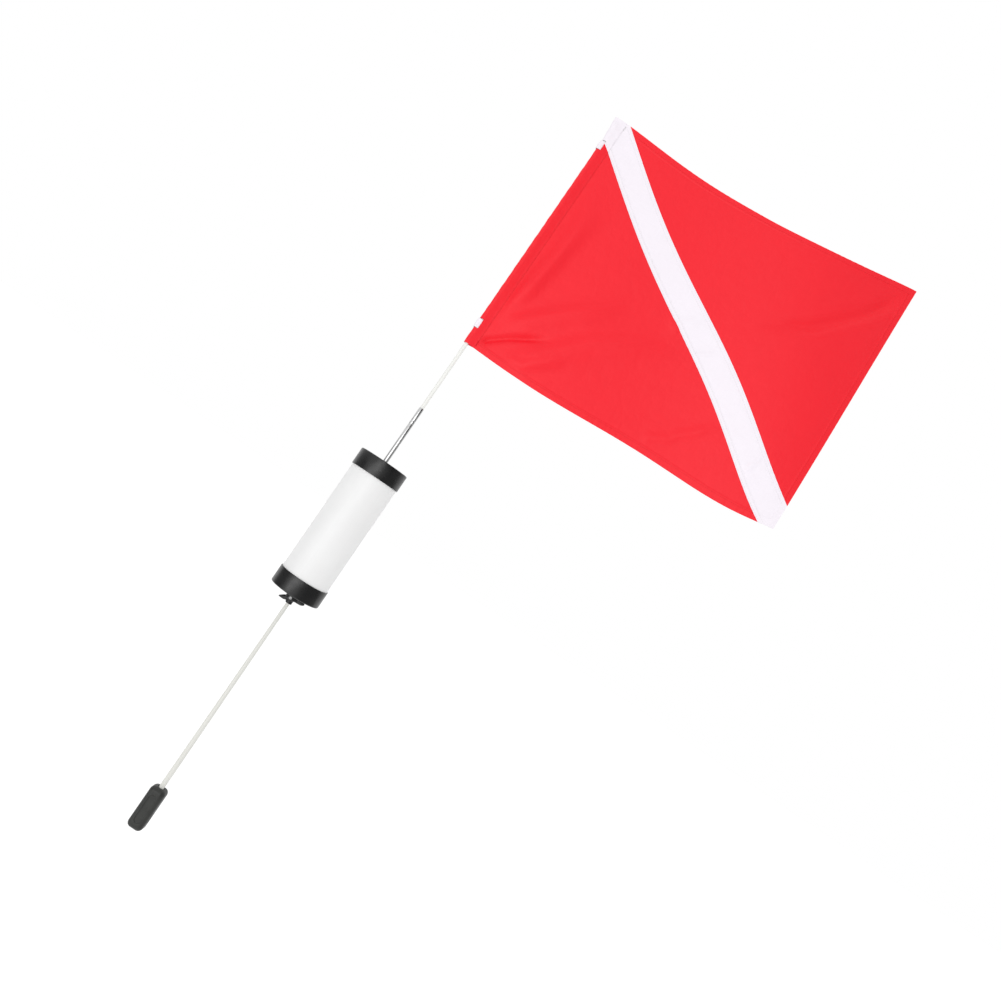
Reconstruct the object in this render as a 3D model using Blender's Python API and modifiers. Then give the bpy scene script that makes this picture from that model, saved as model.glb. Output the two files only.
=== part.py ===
"""Dive flag float: a capped tube on a weighted pole, whose mast pulls out and whose flag swings.

Metres, +Z up the pole. The origin is on the pole's axis at mid height of the float, which is
about the waterline. The flag flies towards +X and the cleat's screw faces -Y.
"""

import math

import bmesh
import bpy
from mathutils import Matrix, Vector

# Clearances between pieces
FIT_GAP = 0.0003  # glued, pressed or resting faces
RUN_GAP = 0.0005  # faces that turn or slide on each other
CUT_OVERRUN = 0.0020  # how far a cutter runs past the face that it opens
MERGE = 0.00001

# Facets round a turned piece
FINE_FACETS = 64
CAP_FACETS = 48
SMALL_FACETS = 24
ARC_STEPS = 4
ROUND_STEPS = 4
CORNER_STEPS = 5
SHARP_ANGLE = math.radians(35)

# Float: a plain tube between two moulded caps
FLOAT_LENGTH = 0.1957
TUBE_R = 0.0320
TUBE_WALL = 0.0020
CAP_HEIGHT = 0.0225
CAP_SKIRT = 0.0010
CAP_END = 0.0030
CAP_EDGE_R = 0.0014
CAP_RIM = 0.0045
CAP_DISH = 0.0006
CAP_LAND = 0.0100
BOSS_WALL = 0.0018
BOSS_DEPTH = 0.0120
RIB_COUNT = 6
RIB_THICKNESS = 0.0016
RIB_DEPTH = 0.0060

# Core tube through the float, with a shoulder that carries the pole
CORE_WALL = 0.0019
SOCKET_SEAT = 0.0600  # from the upper cap's face down to the pole's lower metal end
WASHER_THICKNESS = 0.0008

# Bushings in the caps
BUSHING_WALL = 0.0015
BUSHING_FLANGE_R = 0.0070
BUSHING_FLANGE = 0.0008

# Pole: tapered rod, metal socket tube, cleat and weight
ROD_R = 0.0025
ROD_FOOT_R = 0.0033
ROD_IN_WEIGHT = 0.0380
TAPER_START = 0.0400  # below the float, where the rod begins to thicken
SOCKET_R = 0.0032
SOCKET_WALL = 0.0004
SOCKET_ABOVE_CAP = 0.0578
DIMPLE_ABOVE_CAP = 0.0289
DIMPLE_R = 0.0013
DIMPLE_DEPTH = 0.0005
DIMPLE_STOP = 0.0009

# Cleat: a clamped hub with two slanting horns for the line
CLEAT_HUB_R = 0.0082
CLEAT_HUB_HEIGHT = 0.0121
CLEAT_BAND = 0.0064  # height of the hub's wide part, above its neck
CLEAT_NECK_R = 0.0043
CLEAT_FILLET = 0.0024
CLEAT_EDGE = 0.0008
CLEAT_FOOT_EDGE = 0.0006
LEFT_HORN_R = 0.0031
LEFT_HORN_REACH = 0.0152
LEFT_HORN_ROOT_DROP = 0.0055  # below the hub's upper face
LEFT_HORN_TIP_DROP = 0.0105
RIGHT_HORN_R = 0.0034
RIGHT_HORN_REACH = 0.0181
RIGHT_HORN_ROOT_DROP = 0.0037
RIGHT_HORN_TIP_DROP = 0.0033
HORN_ALONG_SHARES = (0.0, 0.35, 0.58, 0.76, 0.90, 1.0)
LEFT_HORN_R_SHARES = (1.0, 1.0, 0.97, 0.66, 0.40, 0.16)
RIGHT_HORN_R_SHARES = (1.0, 1.0, 0.96, 0.88, 0.60, 0.14)
SCREW_DROP = 0.0039
SCREW_R = 0.0014
SCREW_HEAD_R = 0.0022
SCREW_HEAD = 0.0014
SCREW_SOCKET_R = 0.0011
SCREW_SOCKET_DEPTH = 0.0010

# Weight: a dipped slug with an oblong recess and a slot in each edge
WEIGHT_BELOW_FLOAT = 0.2783  # from the lower cap's face to the top of the weight
WEIGHT_LENGTH = 0.0560
WEIGHT_WIDTH = 0.0204
WEIGHT_ROUND = 0.0062
COAT = 0.0016
RECESS_LENGTH = 0.0380
RECESS_WIDTH = 0.0096
RECESS_DEPTH = 0.0006
SLOT_LENGTH = 0.0140
SLOT_WIDTH = 0.0018
SLOT_DEPTH = 0.0010
SLOT_ABOVE_FOOT = 0.0120
ROD_COUNTERSINK = 0.0012

# Mast: the upper rod, its metal sleeve and its tip
SLEEVE_LENGTH = 0.0240
TIP_LENGTH = 0.0120
TIP_WALL = 0.0005
TIP_END = 0.0010

# Flag: two cloth panels, a stripe and a pocket that slips over the mast
FLAG_HOIST = 0.3556
FLAG_FLY = 0.4572
FLAG_FOOT_ABOVE_CAP = 0.1824
CLOTH = 0.0006
STRIPE_WIDTH = 0.0400
STRIPE_HOIST_SHARE = 0.972  # height of its centre line on the hoist, in hoists
STRIPE_FLY_SHARE = 0.026
POCKET_DEPTH = 0.0100  # from the mast's axis to the seam
POCKET_SHUT = 0.0150  # from the head down to where the pocket begins to close
POCKET_HEAD_HEM = 0.0030
POCKET_HEAD_NOSE = 0.0073  # from the mast's axis to the pocket's flat edge at the head
STRAP_THICKNESS = 0.0005
STRAP_BULGE = 0.0058  # from the mast's axis to the outside of the loop
STRAP_HEIGHT = 0.0126
NOTCH_HEIGHT = 0.0140
NOTCH_DEPTH = 0.0015  # how far the notch runs past the mast's axis
LOWER_NOTCH = 0.0295  # height of the notch's middle above the flag's foot
UPPER_NOTCH_DROP = 0.0440  # from the flag's head down to the notch's middle
CLOTH_CELL = 0.0118

# Hang of the cloth
DRAWN_FOOT_SHARE = 0.989
DRAWN_HEAD_SHARE = 0.981
FLY_RISE = 0.0224
FLY_HEAD_RISE = 0.0158
FOOT_SAG = 0.0140
HEAD_SAG = 0.0217
CROWN = 0.0162
BOW_FOOT_POWER = 2.5
BOW_HEAD_POWER = 1.8
BEND = 0.0059
BEND_SHARE = 1.13  # waves from hoist to fly
BILLOW = 0.0120
BILLOW_SHARE = 1.15
BILLOW_SLANT_SHARE = 0.35

# Folds, as lines in shares of the fly and the hoist
FOLD_WIDTH = 0.0110
FOLD_DEPTH = 0.0040
FOLD_START_SHARE = 0.20
FOLD_END_SHARE = 0.40
FOLD_LINE_SHARES = (
    ((0.03, 0.02), (0.10, 0.09), (0.17, 0.16)),
    ((0.05, 0.12), (0.19, 0.30), (0.34, 0.44)),
    ((0.11, 0.04), (0.30, 0.25), (0.42, 0.32), (0.55, 0.36)),
    ((0.04, 0.12), (0.07, 0.31), (0.08, 0.63), (0.06, 0.84)),
    ((0.06, 0.22), (0.09, 0.47), (0.12, 0.75)),
    ((0.65, 0.57), (0.79, 0.68), (0.90, 0.84), (0.97, 0.96)),
    ((0.65, 0.45), (0.82, 0.62)),
)
FOLD_WIDTH_SHARES = (0.7, 0.9, 1.0, 1.0, 1.0, 1.2, 1.2)
FOLD_DEPTH_SHARES = (0.8, 0.7, 0.7, 0.5, 0.6, 1.0, -0.5)

# Places that follow from the sizes above
FLOAT_TOP = FLOAT_LENGTH / 2
FLOAT_FOOT = -FLOAT_LENGTH / 2
CAP_R = TUBE_R + FIT_GAP + CAP_SKIRT
SOCKET_BORE_R = SOCKET_R - SOCKET_WALL
CORE_BORE_R = SOCKET_R + RUN_GAP
CORE_R = CORE_BORE_R + CORE_WALL
BOSS_R = CORE_R + FIT_GAP + BOSS_WALL
BUSHING_R = SOCKET_R + FIT_GAP + BUSHING_WALL
SOCKET_FOOT = FLOAT_TOP - SOCKET_SEAT
SHOULDER_Z = SOCKET_FOOT - WASHER_THICKNESS - 2 * FIT_GAP
JOINT_Z = FLOAT_TOP + SOCKET_ABOVE_CAP
DIMPLE_Z = FLOAT_TOP + DIMPLE_ABOVE_CAP
ROD_TOP = DIMPLE_Z - DIMPLE_R - RUN_GAP
SPIGOT_FOOT = DIMPLE_Z + DIMPLE_R + FIT_GAP
CLEAT_TOP = FLOAT_FOOT - FIT_GAP - BUSHING_FLANGE - RUN_GAP
CLEAT_FOOT = CLEAT_TOP - CLEAT_HUB_HEIGHT
WEIGHT_TOP = FLOAT_FOOT - WEIGHT_BELOW_FLOAT
WEIGHT_FOOT = WEIGHT_TOP - WEIGHT_LENGTH
SLUG_WIDTH = WEIGHT_WIDTH - 2 * (COAT + FIT_GAP)
FLAG_FOOT = FLOAT_TOP + FLAG_FOOT_ABOVE_CAP
FLAG_HEAD = FLAG_FOOT + FLAG_HOIST
MAST_TOP = FLAG_HEAD - POCKET_SHUT - 2 * FIT_GAP - TIP_END
POCKET_BORE_R = ROD_R + 2 * FIT_GAP + STRAP_THICKNESS
POCKET_R = POCKET_BORE_R + CLOTH
SEAM = POCKET_R + POCKET_DEPTH
UPPER_NOTCH = FLAG_HOIST - UPPER_NOTCH_DROP
BORDER_Z = FLAG_FOOT + UPPER_NOTCH + NOTCH_HEIGHT / 2 - 2 * FIT_GAP
BORDER_SLOPE = (STRIPE_FLY_SHARE - STRIPE_HOIST_SHARE) * FLAG_HOIST / FLAG_FLY


# Scene and materials


def clear_scene():
    """Remove every object, so that the model starts from nothing."""
    for old in list(bpy.data.objects):
        bpy.data.objects.remove(old, do_unlink=True)


def new_collection(name):
    """Return a fresh collection in the scene."""
    collection = bpy.data.collections.new(name)
    bpy.context.scene.collection.children.link(collection)
    return collection


def material(name, colour, roughness, metallic=0.0):
    """Return a Principled material for one piece."""
    made = bpy.data.materials.new(name)
    made.use_nodes = True
    shader = made.node_tree.nodes["Principled BSDF"]
    shader.inputs["Base Color"].default_value = (*colour, 1)
    shader.inputs["Roughness"].default_value = roughness
    shader.inputs["Metallic"].default_value = metallic
    return made


WHITE_TUBE = ((0.86, 0.87, 0.87), 0.42)
BLACK_CAP = ((0.022, 0.022, 0.023), 0.38)
BLACK_NYLON = ((0.012, 0.012, 0.013), 0.42)
BLACK_VINYL = ((0.055, 0.056, 0.052), 0.62)
PALE_ROD = ((0.72, 0.72, 0.68), 0.40)
WHITE_ROD = ((0.84, 0.84, 0.81), 0.38)
STEEL = ((0.66, 0.66, 0.66), 0.22, 1.0)
LEAD = ((0.24, 0.25, 0.27), 0.60, 1.0)
RED_CLOTH = ((0.86, 0.035, 0.045), 0.80)
WHITE_CLOTH = ((0.90, 0.87, 0.90), 0.80)


# Modelling tools


def finish(obj, collection, look, smooth=True):
    """Put a piece in its collection with its own material and shading."""
    for holder in list(obj.users_collection):
        holder.objects.unlink(obj)
    collection.objects.link(obj)
    obj.data.materials.clear()
    obj.data.materials.append(material(obj.name + "_material", *look))
    if smooth:
        obj.data.shade_smooth()
        obj.data.set_sharp_from_angle(angle=SHARP_ANGLE)
    return obj


def mesh_object(name, bm):
    """Turn a bmesh into a linked object."""
    mesh = bpy.data.meshes.new(name)
    bm.to_mesh(mesh)
    bm.free()
    obj = bpy.data.objects.new(name, mesh)
    bpy.context.scene.collection.objects.link(obj)
    return obj


def evaluated_mesh(obj):
    """Return the mesh of an object with its modifiers applied."""
    bpy.context.view_layer.update()
    depsgraph = bpy.context.evaluated_depsgraph_get()
    return bpy.data.meshes.new_from_object(obj.evaluated_get(depsgraph))


def apply_modifiers(obj):
    """Replace an object's mesh by its evaluated mesh."""
    mesh = evaluated_mesh(obj)
    obj.modifiers.clear()
    obj.data = mesh
    return obj


def turned(name, outline, facets, closed):
    """Turn an outline of (radius, height) points round Z; a closed one leaves a bore."""
    bm = bmesh.new()
    verts = [bm.verts.new((radius, 0, height)) for radius, height in outline]
    for first, second in zip(verts, verts[1:]):
        bm.edges.new((first, second))
    if closed:
        bm.edges.new((verts[-1], verts[0]))
    obj = mesh_object(name, bm)
    screw = obj.modifiers.new("Turn", "SCREW")
    screw.steps = facets
    screw.render_steps = facets
    screw.use_merge_vertices = True
    screw.merge_threshold = MERGE
    screw.use_smooth_shade = True
    return apply_modifiers(obj)


def arc(centre, radius, start, end, steps=ARC_STEPS):
    """Return (radius, height) points round an arc, angles in degrees."""
    points = []
    for step in range(steps + 1):
        angle = math.radians(start + (end - start) * step / steps)
        across = centre[0] + radius * math.cos(angle)
        up = centre[1] + radius * math.sin(angle)
        points.append((across, up))
    return points


def extruded(name, outlines, foot, head):
    """Extrude closed (x, y) outlines from foot to head; the second outline is a hole."""
    curve = bpy.data.curves.new(name, "CURVE")
    curve.dimensions = "2D"
    curve.fill_mode = "BOTH"
    curve.extrude = (head - foot) / 2
    for outline in outlines:
        spline = curve.splines.new("POLY")
        spline.points.add(len(outline) - 1)
        for point, (x, y) in zip(spline.points, outline):
            point.co = (x, y, 0, 1)
        spline.use_cyclic_u = True
    guide = bpy.data.objects.new(name, curve)
    bpy.context.scene.collection.objects.link(guide)
    guide.location.z = (head + foot) / 2
    return solid_from_curve(guide)


def solid_from_curve(guide):
    """Make a welded mesh object from a curve object and remove the curve."""
    mesh = evaluated_mesh(guide)
    bm = bmesh.new()
    bm.from_mesh(mesh)
    bmesh.ops.remove_doubles(bm, verts=bm.verts, dist=MERGE)
    bmesh.ops.recalc_face_normals(bm, faces=bm.faces)
    bm.to_mesh(mesh)
    bm.free()
    name = guide.name
    placed = guide.matrix_world.copy()
    bpy.data.objects.remove(guide, do_unlink=True)
    obj = bpy.data.objects.new(name, mesh)
    obj.matrix_world = placed
    bpy.context.scene.collection.objects.link(obj)
    return settle(obj)


def lofted(name, outlines, heights):
    """Return a closed solid through (x, y) outlines of equal count, one at each height."""
    bm = bmesh.new()
    rings = []
    for outline, height in zip(outlines, heights):
        rings.append([bm.verts.new((x, y, height)) for x, y in outline])
    bm.faces.new(rings[0])
    bm.faces.new(rings[-1])
    for lower, upper in zip(rings, rings[1:]):
        for here in range(len(lower)):
            last = here - 1
            bm.faces.new((lower[last], lower[here], upper[here], upper[last]))
    bmesh.ops.recalc_face_normals(bm, faces=bm.faces)
    return mesh_object(name, bm)


def settle(obj):
    """Move an object's placing into its mesh."""
    bpy.context.view_layer.update()
    obj.data.transform(obj.matrix_world)
    obj.matrix_world = Matrix.Identity(4)
    return obj


def box(name, low, high):
    """Return a box between two corners."""
    low, high = Vector(low), Vector(high)
    bm = bmesh.new()
    bmesh.ops.create_cube(bm, size=1)
    bmesh.ops.scale(bm, vec=high - low, verts=bm.verts)
    bmesh.ops.translate(bm, vec=(high + low) / 2, verts=bm.verts)
    return mesh_object(name, bm)


def rod(name, radius, start, end, facets=SMALL_FACETS, end_radius=None):
    """Return a cylinder, or a cone frustum, between two points."""
    start, end = Vector(start), Vector(end)
    bm = bmesh.new()
    bmesh.ops.create_cone(
        bm,
        cap_ends=True,
        segments=facets,
        radius1=radius,
        radius2=radius if end_radius is None else end_radius,
        depth=(end - start).length,
    )
    turn = (end - start).to_track_quat("Z", "Y").to_matrix().to_4x4()
    bmesh.ops.transform(bm, matrix=Matrix.Translation((start + end) / 2) @ turn, verts=bm.verts)
    return mesh_object(name, bm)


def ball(name, radius, centre):
    """Return a small sphere."""
    bm = bmesh.new()
    bmesh.ops.create_uvsphere(bm, u_segments=SMALL_FACETS, v_segments=SMALL_FACETS // 2, radius=radius)
    bmesh.ops.translate(bm, vec=centre, verts=bm.verts)
    return mesh_object(name, bm)


def combine(obj, tool, operation, cutters):
    """Cut, join or intersect an object with a tool, which then goes with the cutters."""
    change = obj.modifiers.new(operation.title(), "BOOLEAN")
    change.operation = operation
    change.solver = "EXACT"
    change.object = tool
    apply_modifiers(obj)
    for holder in list(tool.users_collection):
        holder.objects.unlink(tool)
    cutters.objects.link(tool)
    tool.hide_render = True
    tool.display_type = "WIRE"
    return obj


def round_edges(obj, width, segments, angle=SHARP_ANGLE):
    """Round the edges that are sharper than an angle."""
    bevel = obj.modifiers.new("Round", "BEVEL")
    bevel.width = width
    bevel.segments = segments
    bevel.limit_method = "ANGLE"
    bevel.angle_limit = angle
    return apply_modifiers(obj)


# Outlines


def stadium(length, width):
    """Return the (x, y) outline of an oblong with round ends, long side along Y."""
    centre = (length - width) / 2
    ends = arc((0, centre), width / 2, 0, 180, 2 * CORNER_STEPS)
    return ends + arc((0, -centre), width / 2, 180, 360, 2 * CORNER_STEPS)


def teardrop(radius, tip):
    """Return the (x, y) outline of cloth drawn tight from a round rod to a seam at tip."""
    touch = math.degrees(math.acos(radius / tip))
    return [(tip, 0)] + arc((0, 0), radius, touch, 360 - touch, 4 * CORNER_STEPS)


def loop(radius, bulge):
    """Return the (x, y) outline of a loose loop that bulges towards -X."""
    flat = bulge - radius
    near = arc((0, 0), radius, -90, 90, 2 * CORNER_STEPS)
    return near + arc((-flat, 0), radius, 90, 270, 2 * CORNER_STEPS)


# Float


def cap_outline():
    """Return the closed outline of a cap, its face at height 0 and its skirt below."""
    tube_seat_r = TUBE_R + FIT_GAP
    dish_outer = CAP_R - CAP_RIM
    outline = [
        (BUSHING_R + FIT_GAP, 0),
        (CAP_LAND, 0),
        (CAP_LAND + CAP_DISH, -CAP_DISH),
        (dish_outer - CAP_DISH, -CAP_DISH),
        (dish_outer, 0),
    ]
    outline += arc((CAP_R - CAP_EDGE_R, -CAP_EDGE_R), CAP_EDGE_R, 90, 0)
    outline += [
        (CAP_R, -CAP_HEIGHT),
        (tube_seat_r, -CAP_HEIGHT),
        (tube_seat_r, -CAP_END),
        (BOSS_R, -CAP_END),
        (BOSS_R, -CAP_END - BOSS_DEPTH),
        (CORE_R + FIT_GAP, -CAP_END - BOSS_DEPTH),
        (CORE_R + FIT_GAP, -CAP_END),
        (BUSHING_R + FIT_GAP, -CAP_END),
    ]
    return outline


def make_cap(name, look, collection, cutters):
    """Make a cap with a boss for the core tube and ribs that reach the tube's bore."""
    cap = turned(name, cap_outline(), CAP_FACETS, closed=True)
    rib_end = TUBE_R - TUBE_WALL - RUN_GAP
    sink = BOSS_WALL / 2
    for rib in range(RIB_COUNT):
        plate = box(
            f"{name}_rib_{rib}",
            (BOSS_R - sink, -RIB_THICKNESS / 2, -CAP_END - RIB_DEPTH),
            (rib_end, RIB_THICKNESS / 2, -CAP_END + CAP_END / 2),
        )
        plate.data.transform(Matrix.Rotation(math.tau * rib / RIB_COUNT, 4, "Z"))
        combine(cap, plate, "UNION", cutters)
    return finish(cap, collection, look)


def bushing_outline(bore_r):
    """Return the outline of a bushing, flange up, with the cap's face at height 0."""
    seat = FIT_GAP
    edge = BUSHING_FLANGE / 3
    return [
        (bore_r, seat + BUSHING_FLANGE),
        (BUSHING_FLANGE_R - edge, seat + BUSHING_FLANGE),
        (BUSHING_FLANGE_R, seat + BUSHING_FLANGE - edge),
        (BUSHING_FLANGE_R, seat),
        (BUSHING_R, seat),
        (BUSHING_R, -CAP_END),
        (bore_r, -CAP_END),
    ]


def make_float(collection, cutters):
    """Make the tube, its caps and bushings, and the core tube with its washer."""
    half = FLOAT_TOP - CAP_END - FIT_GAP
    tube_bore = TUBE_R - TUBE_WALL
    tube = turned(
        "float_tube",
        [(TUBE_R, half), (TUBE_R, -half), (tube_bore, -half), (tube_bore, half)],
        FINE_FACETS,
        closed=True,
    )
    finish(tube, collection, WHITE_TUBE)

    upper_cap = make_cap("cap_upper", BLACK_CAP, collection, cutters)
    upper_cap.location.z = FLOAT_TOP
    lower_cap = make_cap("cap_lower", BLACK_CAP, collection, cutters)
    lower_cap.location.z = FLOAT_FOOT
    lower_cap.rotation_euler.x = math.pi

    upper_bushing = turned(
        "bushing_upper", bushing_outline(SOCKET_R + FIT_GAP), SMALL_FACETS, closed=True
    )
    upper_bushing.location.z = FLOAT_TOP
    finish(upper_bushing, collection, BLACK_NYLON)
    lower_bushing = turned(
        "bushing_lower", bushing_outline(ROD_R + FIT_GAP), SMALL_FACETS, closed=True
    )
    lower_bushing.location.z = FLOAT_FOOT
    lower_bushing.rotation_euler.x = math.pi
    finish(lower_bushing, collection, BLACK_NYLON)

    narrow = ROD_R + RUN_GAP
    core = turned(
        "core_tube",
        [
            (CORE_BORE_R, half),
            (CORE_R, half),
            (CORE_R, -half),
            (narrow, -half),
            (narrow, SHOULDER_Z),
            (CORE_BORE_R, SHOULDER_Z),
        ],
        SMALL_FACETS,
        closed=True,
    )
    finish(core, collection, WHITE_TUBE)

    washer_r = CORE_BORE_R - FIT_GAP
    washer_bore = ROD_R + FIT_GAP
    washer_top = SHOULDER_Z + FIT_GAP + WASHER_THICKNESS
    washer_foot = SHOULDER_Z + FIT_GAP
    washer = turned(
        "thrust_washer",
        [
            (washer_r, washer_top),
            (washer_r, washer_foot),
            (washer_bore, washer_foot),
            (washer_bore, washer_top),
        ],
        SMALL_FACETS,
        closed=True,
    )
    finish(washer, collection, STEEL)


# Pole


def make_rod(collection):
    """Make the lower rod: even through the float, then thicker down to the weight."""
    foot = WEIGHT_TOP - ROD_IN_WEIGHT
    chamfer = ROD_R / 6
    outline = [
        (0, ROD_TOP),
        (ROD_R - chamfer, ROD_TOP),
        (ROD_R, ROD_TOP - chamfer),
        (ROD_R, FLOAT_FOOT - TAPER_START),
        (ROD_FOOT_R, WEIGHT_TOP),
        (ROD_FOOT_R, foot + chamfer),
        (ROD_FOOT_R - chamfer, foot),
        (0, foot),
    ]
    lower_rod = turned("lower_rod", outline, SMALL_FACETS, closed=False)
    finish(lower_rod, collection, PALE_ROD)


def make_socket(collection, cutters):
    """Make the metal socket tube, with a dimple that stops the mast's spigot."""
    tube = turned(
        "socket_tube",
        [
            (SOCKET_R, JOINT_Z),
            (SOCKET_R, SOCKET_FOOT),
            (SOCKET_BORE_R, SOCKET_FOOT),
            (SOCKET_BORE_R, JOINT_Z),
        ],
        SMALL_FACETS,
        closed=True,
    )
    inward = SOCKET_BORE_R + DIMPLE_R - DIMPLE_STOP
    outward = SOCKET_R + DIMPLE_R - DIMPLE_DEPTH
    stop = ball("dimple_stop", DIMPLE_R, (inward, 0, DIMPLE_Z))
    middle_r = (SOCKET_R + SOCKET_BORE_R) / 2
    reach = (0, 0, DIMPLE_Z + 2 * DIMPLE_R)
    limit = rod("dimple_limit", middle_r, (0, 0, DIMPLE_Z - 2 * DIMPLE_R), reach)
    combine(stop, limit, "INTERSECT", cutters)
    combine(tube, stop, "UNION", cutters)
    dent = ball("dimple_dent", DIMPLE_R, (outward, 0, DIMPLE_Z))
    combine(tube, dent, "DIFFERENCE", cutters)
    finish(tube, collection, STEEL)


def horn(name, radius, root, tip, radius_shares):
    """Return one tapered horn of the cleat, from its root inside the hub to its tip."""
    start, end = Vector(root), Vector(tip)
    curve = bpy.data.curves.new(name, "CURVE")
    curve.dimensions = "3D"
    curve.bevel_depth = radius
    curve.bevel_resolution = 2
    curve.use_fill_caps = True
    spline = curve.splines.new("POLY")
    spline.points.add(len(HORN_ALONG_SHARES) - 1)
    for point, along, thick in zip(spline.points, HORN_ALONG_SHARES, radius_shares):
        point.co = (*start.lerp(end, along), 1)
        point.radius = thick
    guide = bpy.data.objects.new(name, curve)
    bpy.context.scene.collection.objects.link(guide)
    return solid_from_curve(guide)


def make_cleat(collection, cutters):
    """Make the cleat: a wide hub with a neck on the rod, two horns and a clamp screw."""
    band_foot = CLEAT_TOP - CLEAT_BAND
    outline = [
        (0, CLEAT_TOP),
        (CLEAT_HUB_R - CLEAT_EDGE, CLEAT_TOP),
        (CLEAT_HUB_R, CLEAT_TOP - CLEAT_EDGE),
        (CLEAT_HUB_R, band_foot + CLEAT_EDGE),
        (CLEAT_HUB_R - CLEAT_EDGE, band_foot),
    ]
    outline += arc((CLEAT_NECK_R + CLEAT_FILLET, band_foot - CLEAT_FILLET), CLEAT_FILLET, 90, 180)
    outline += [
        (CLEAT_NECK_R, CLEAT_FOOT + CLEAT_FOOT_EDGE),
        (CLEAT_NECK_R - CLEAT_FOOT_EDGE, CLEAT_FOOT),
        (0, CLEAT_FOOT),
    ]
    hub_facets = 2 * SMALL_FACETS
    hub = turned("line_cleat", outline, hub_facets, closed=False)
    # Half a facet's turn, so that none of its edges lies in the horns' middle plane
    hub.data.transform(Matrix.Rotation(math.pi / hub_facets, 4, "Z"))
    left = horn(
        "cleat_horn_left",
        LEFT_HORN_R,
        (0, 0, CLEAT_TOP - LEFT_HORN_ROOT_DROP),
        (-LEFT_HORN_REACH, 0, CLEAT_TOP - LEFT_HORN_TIP_DROP),
        LEFT_HORN_R_SHARES,
    )
    right = horn(
        "cleat_horn_right",
        RIGHT_HORN_R,
        (0, 0, CLEAT_TOP - RIGHT_HORN_ROOT_DROP),
        (RIGHT_HORN_REACH, 0, CLEAT_TOP - RIGHT_HORN_TIP_DROP),
        RIGHT_HORN_R_SHARES,
    )
    combine(hub, left, "UNION", cutters)
    combine(hub, right, "UNION", cutters)

    screw_z = CLEAT_TOP - SCREW_DROP
    land = CLEAT_HUB_R - CLEAT_EDGE
    spot = rod(
        "cleat_spot_face",
        SCREW_HEAD_R + FIT_GAP,
        (0, -land, screw_z),
        (0, -CLEAT_HUB_R - CUT_OVERRUN, screw_z),
    )
    combine(hub, spot, "DIFFERENCE", cutters)
    bore_top = (0, 0, CLEAT_TOP + CUT_OVERRUN)
    bore = rod("cleat_bore", ROD_R + FIT_GAP, (0, 0, CLEAT_FOOT - CUT_OVERRUN), bore_top)
    combine(hub, bore, "DIFFERENCE", cutters)
    hole = rod(
        "cleat_screw_hole",
        SCREW_R + FIT_GAP,
        (0, 0, screw_z),
        (0, -CLEAT_HUB_R - CUT_OVERRUN, screw_z),
    )
    combine(hub, hole, "DIFFERENCE", cutters)
    finish(hub, collection, BLACK_NYLON)

    head_foot = land + FIT_GAP
    dome = SCREW_HEAD / 3
    outline = [
        (0, head_foot + SCREW_HEAD),
        (SCREW_HEAD_R - 2 * dome, head_foot + SCREW_HEAD),
        (SCREW_HEAD_R - dome / 2, head_foot + SCREW_HEAD - dome),
        (SCREW_HEAD_R, head_foot + dome),
        (SCREW_HEAD_R, head_foot),
        (SCREW_R, head_foot),
        (SCREW_R, ROD_R + FIT_GAP),
        (0, ROD_R + FIT_GAP),
    ]
    screw = turned("cleat_screw", outline, SMALL_FACETS, closed=False)
    key = rod(
        "cleat_screw_key",
        SCREW_SOCKET_R,
        (0, 0, head_foot + SCREW_HEAD - SCREW_SOCKET_DEPTH),
        (0, 0, head_foot + SCREW_HEAD + CUT_OVERRUN),
        facets=6,
    )
    combine(screw, key, "DIFFERENCE", cutters)
    screw.rotation_euler.x = math.pi / 2
    screw.location.z = screw_z
    finish(screw, collection, STEEL)


def rounded_block(name, width, foot, head, radius):
    """Return an upright block of square section with every edge rounded."""
    side = width / 2
    block = box(name, (-side, -side, foot), (side, side, head))
    return round_edges(block, radius, ROUND_STEPS)


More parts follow.
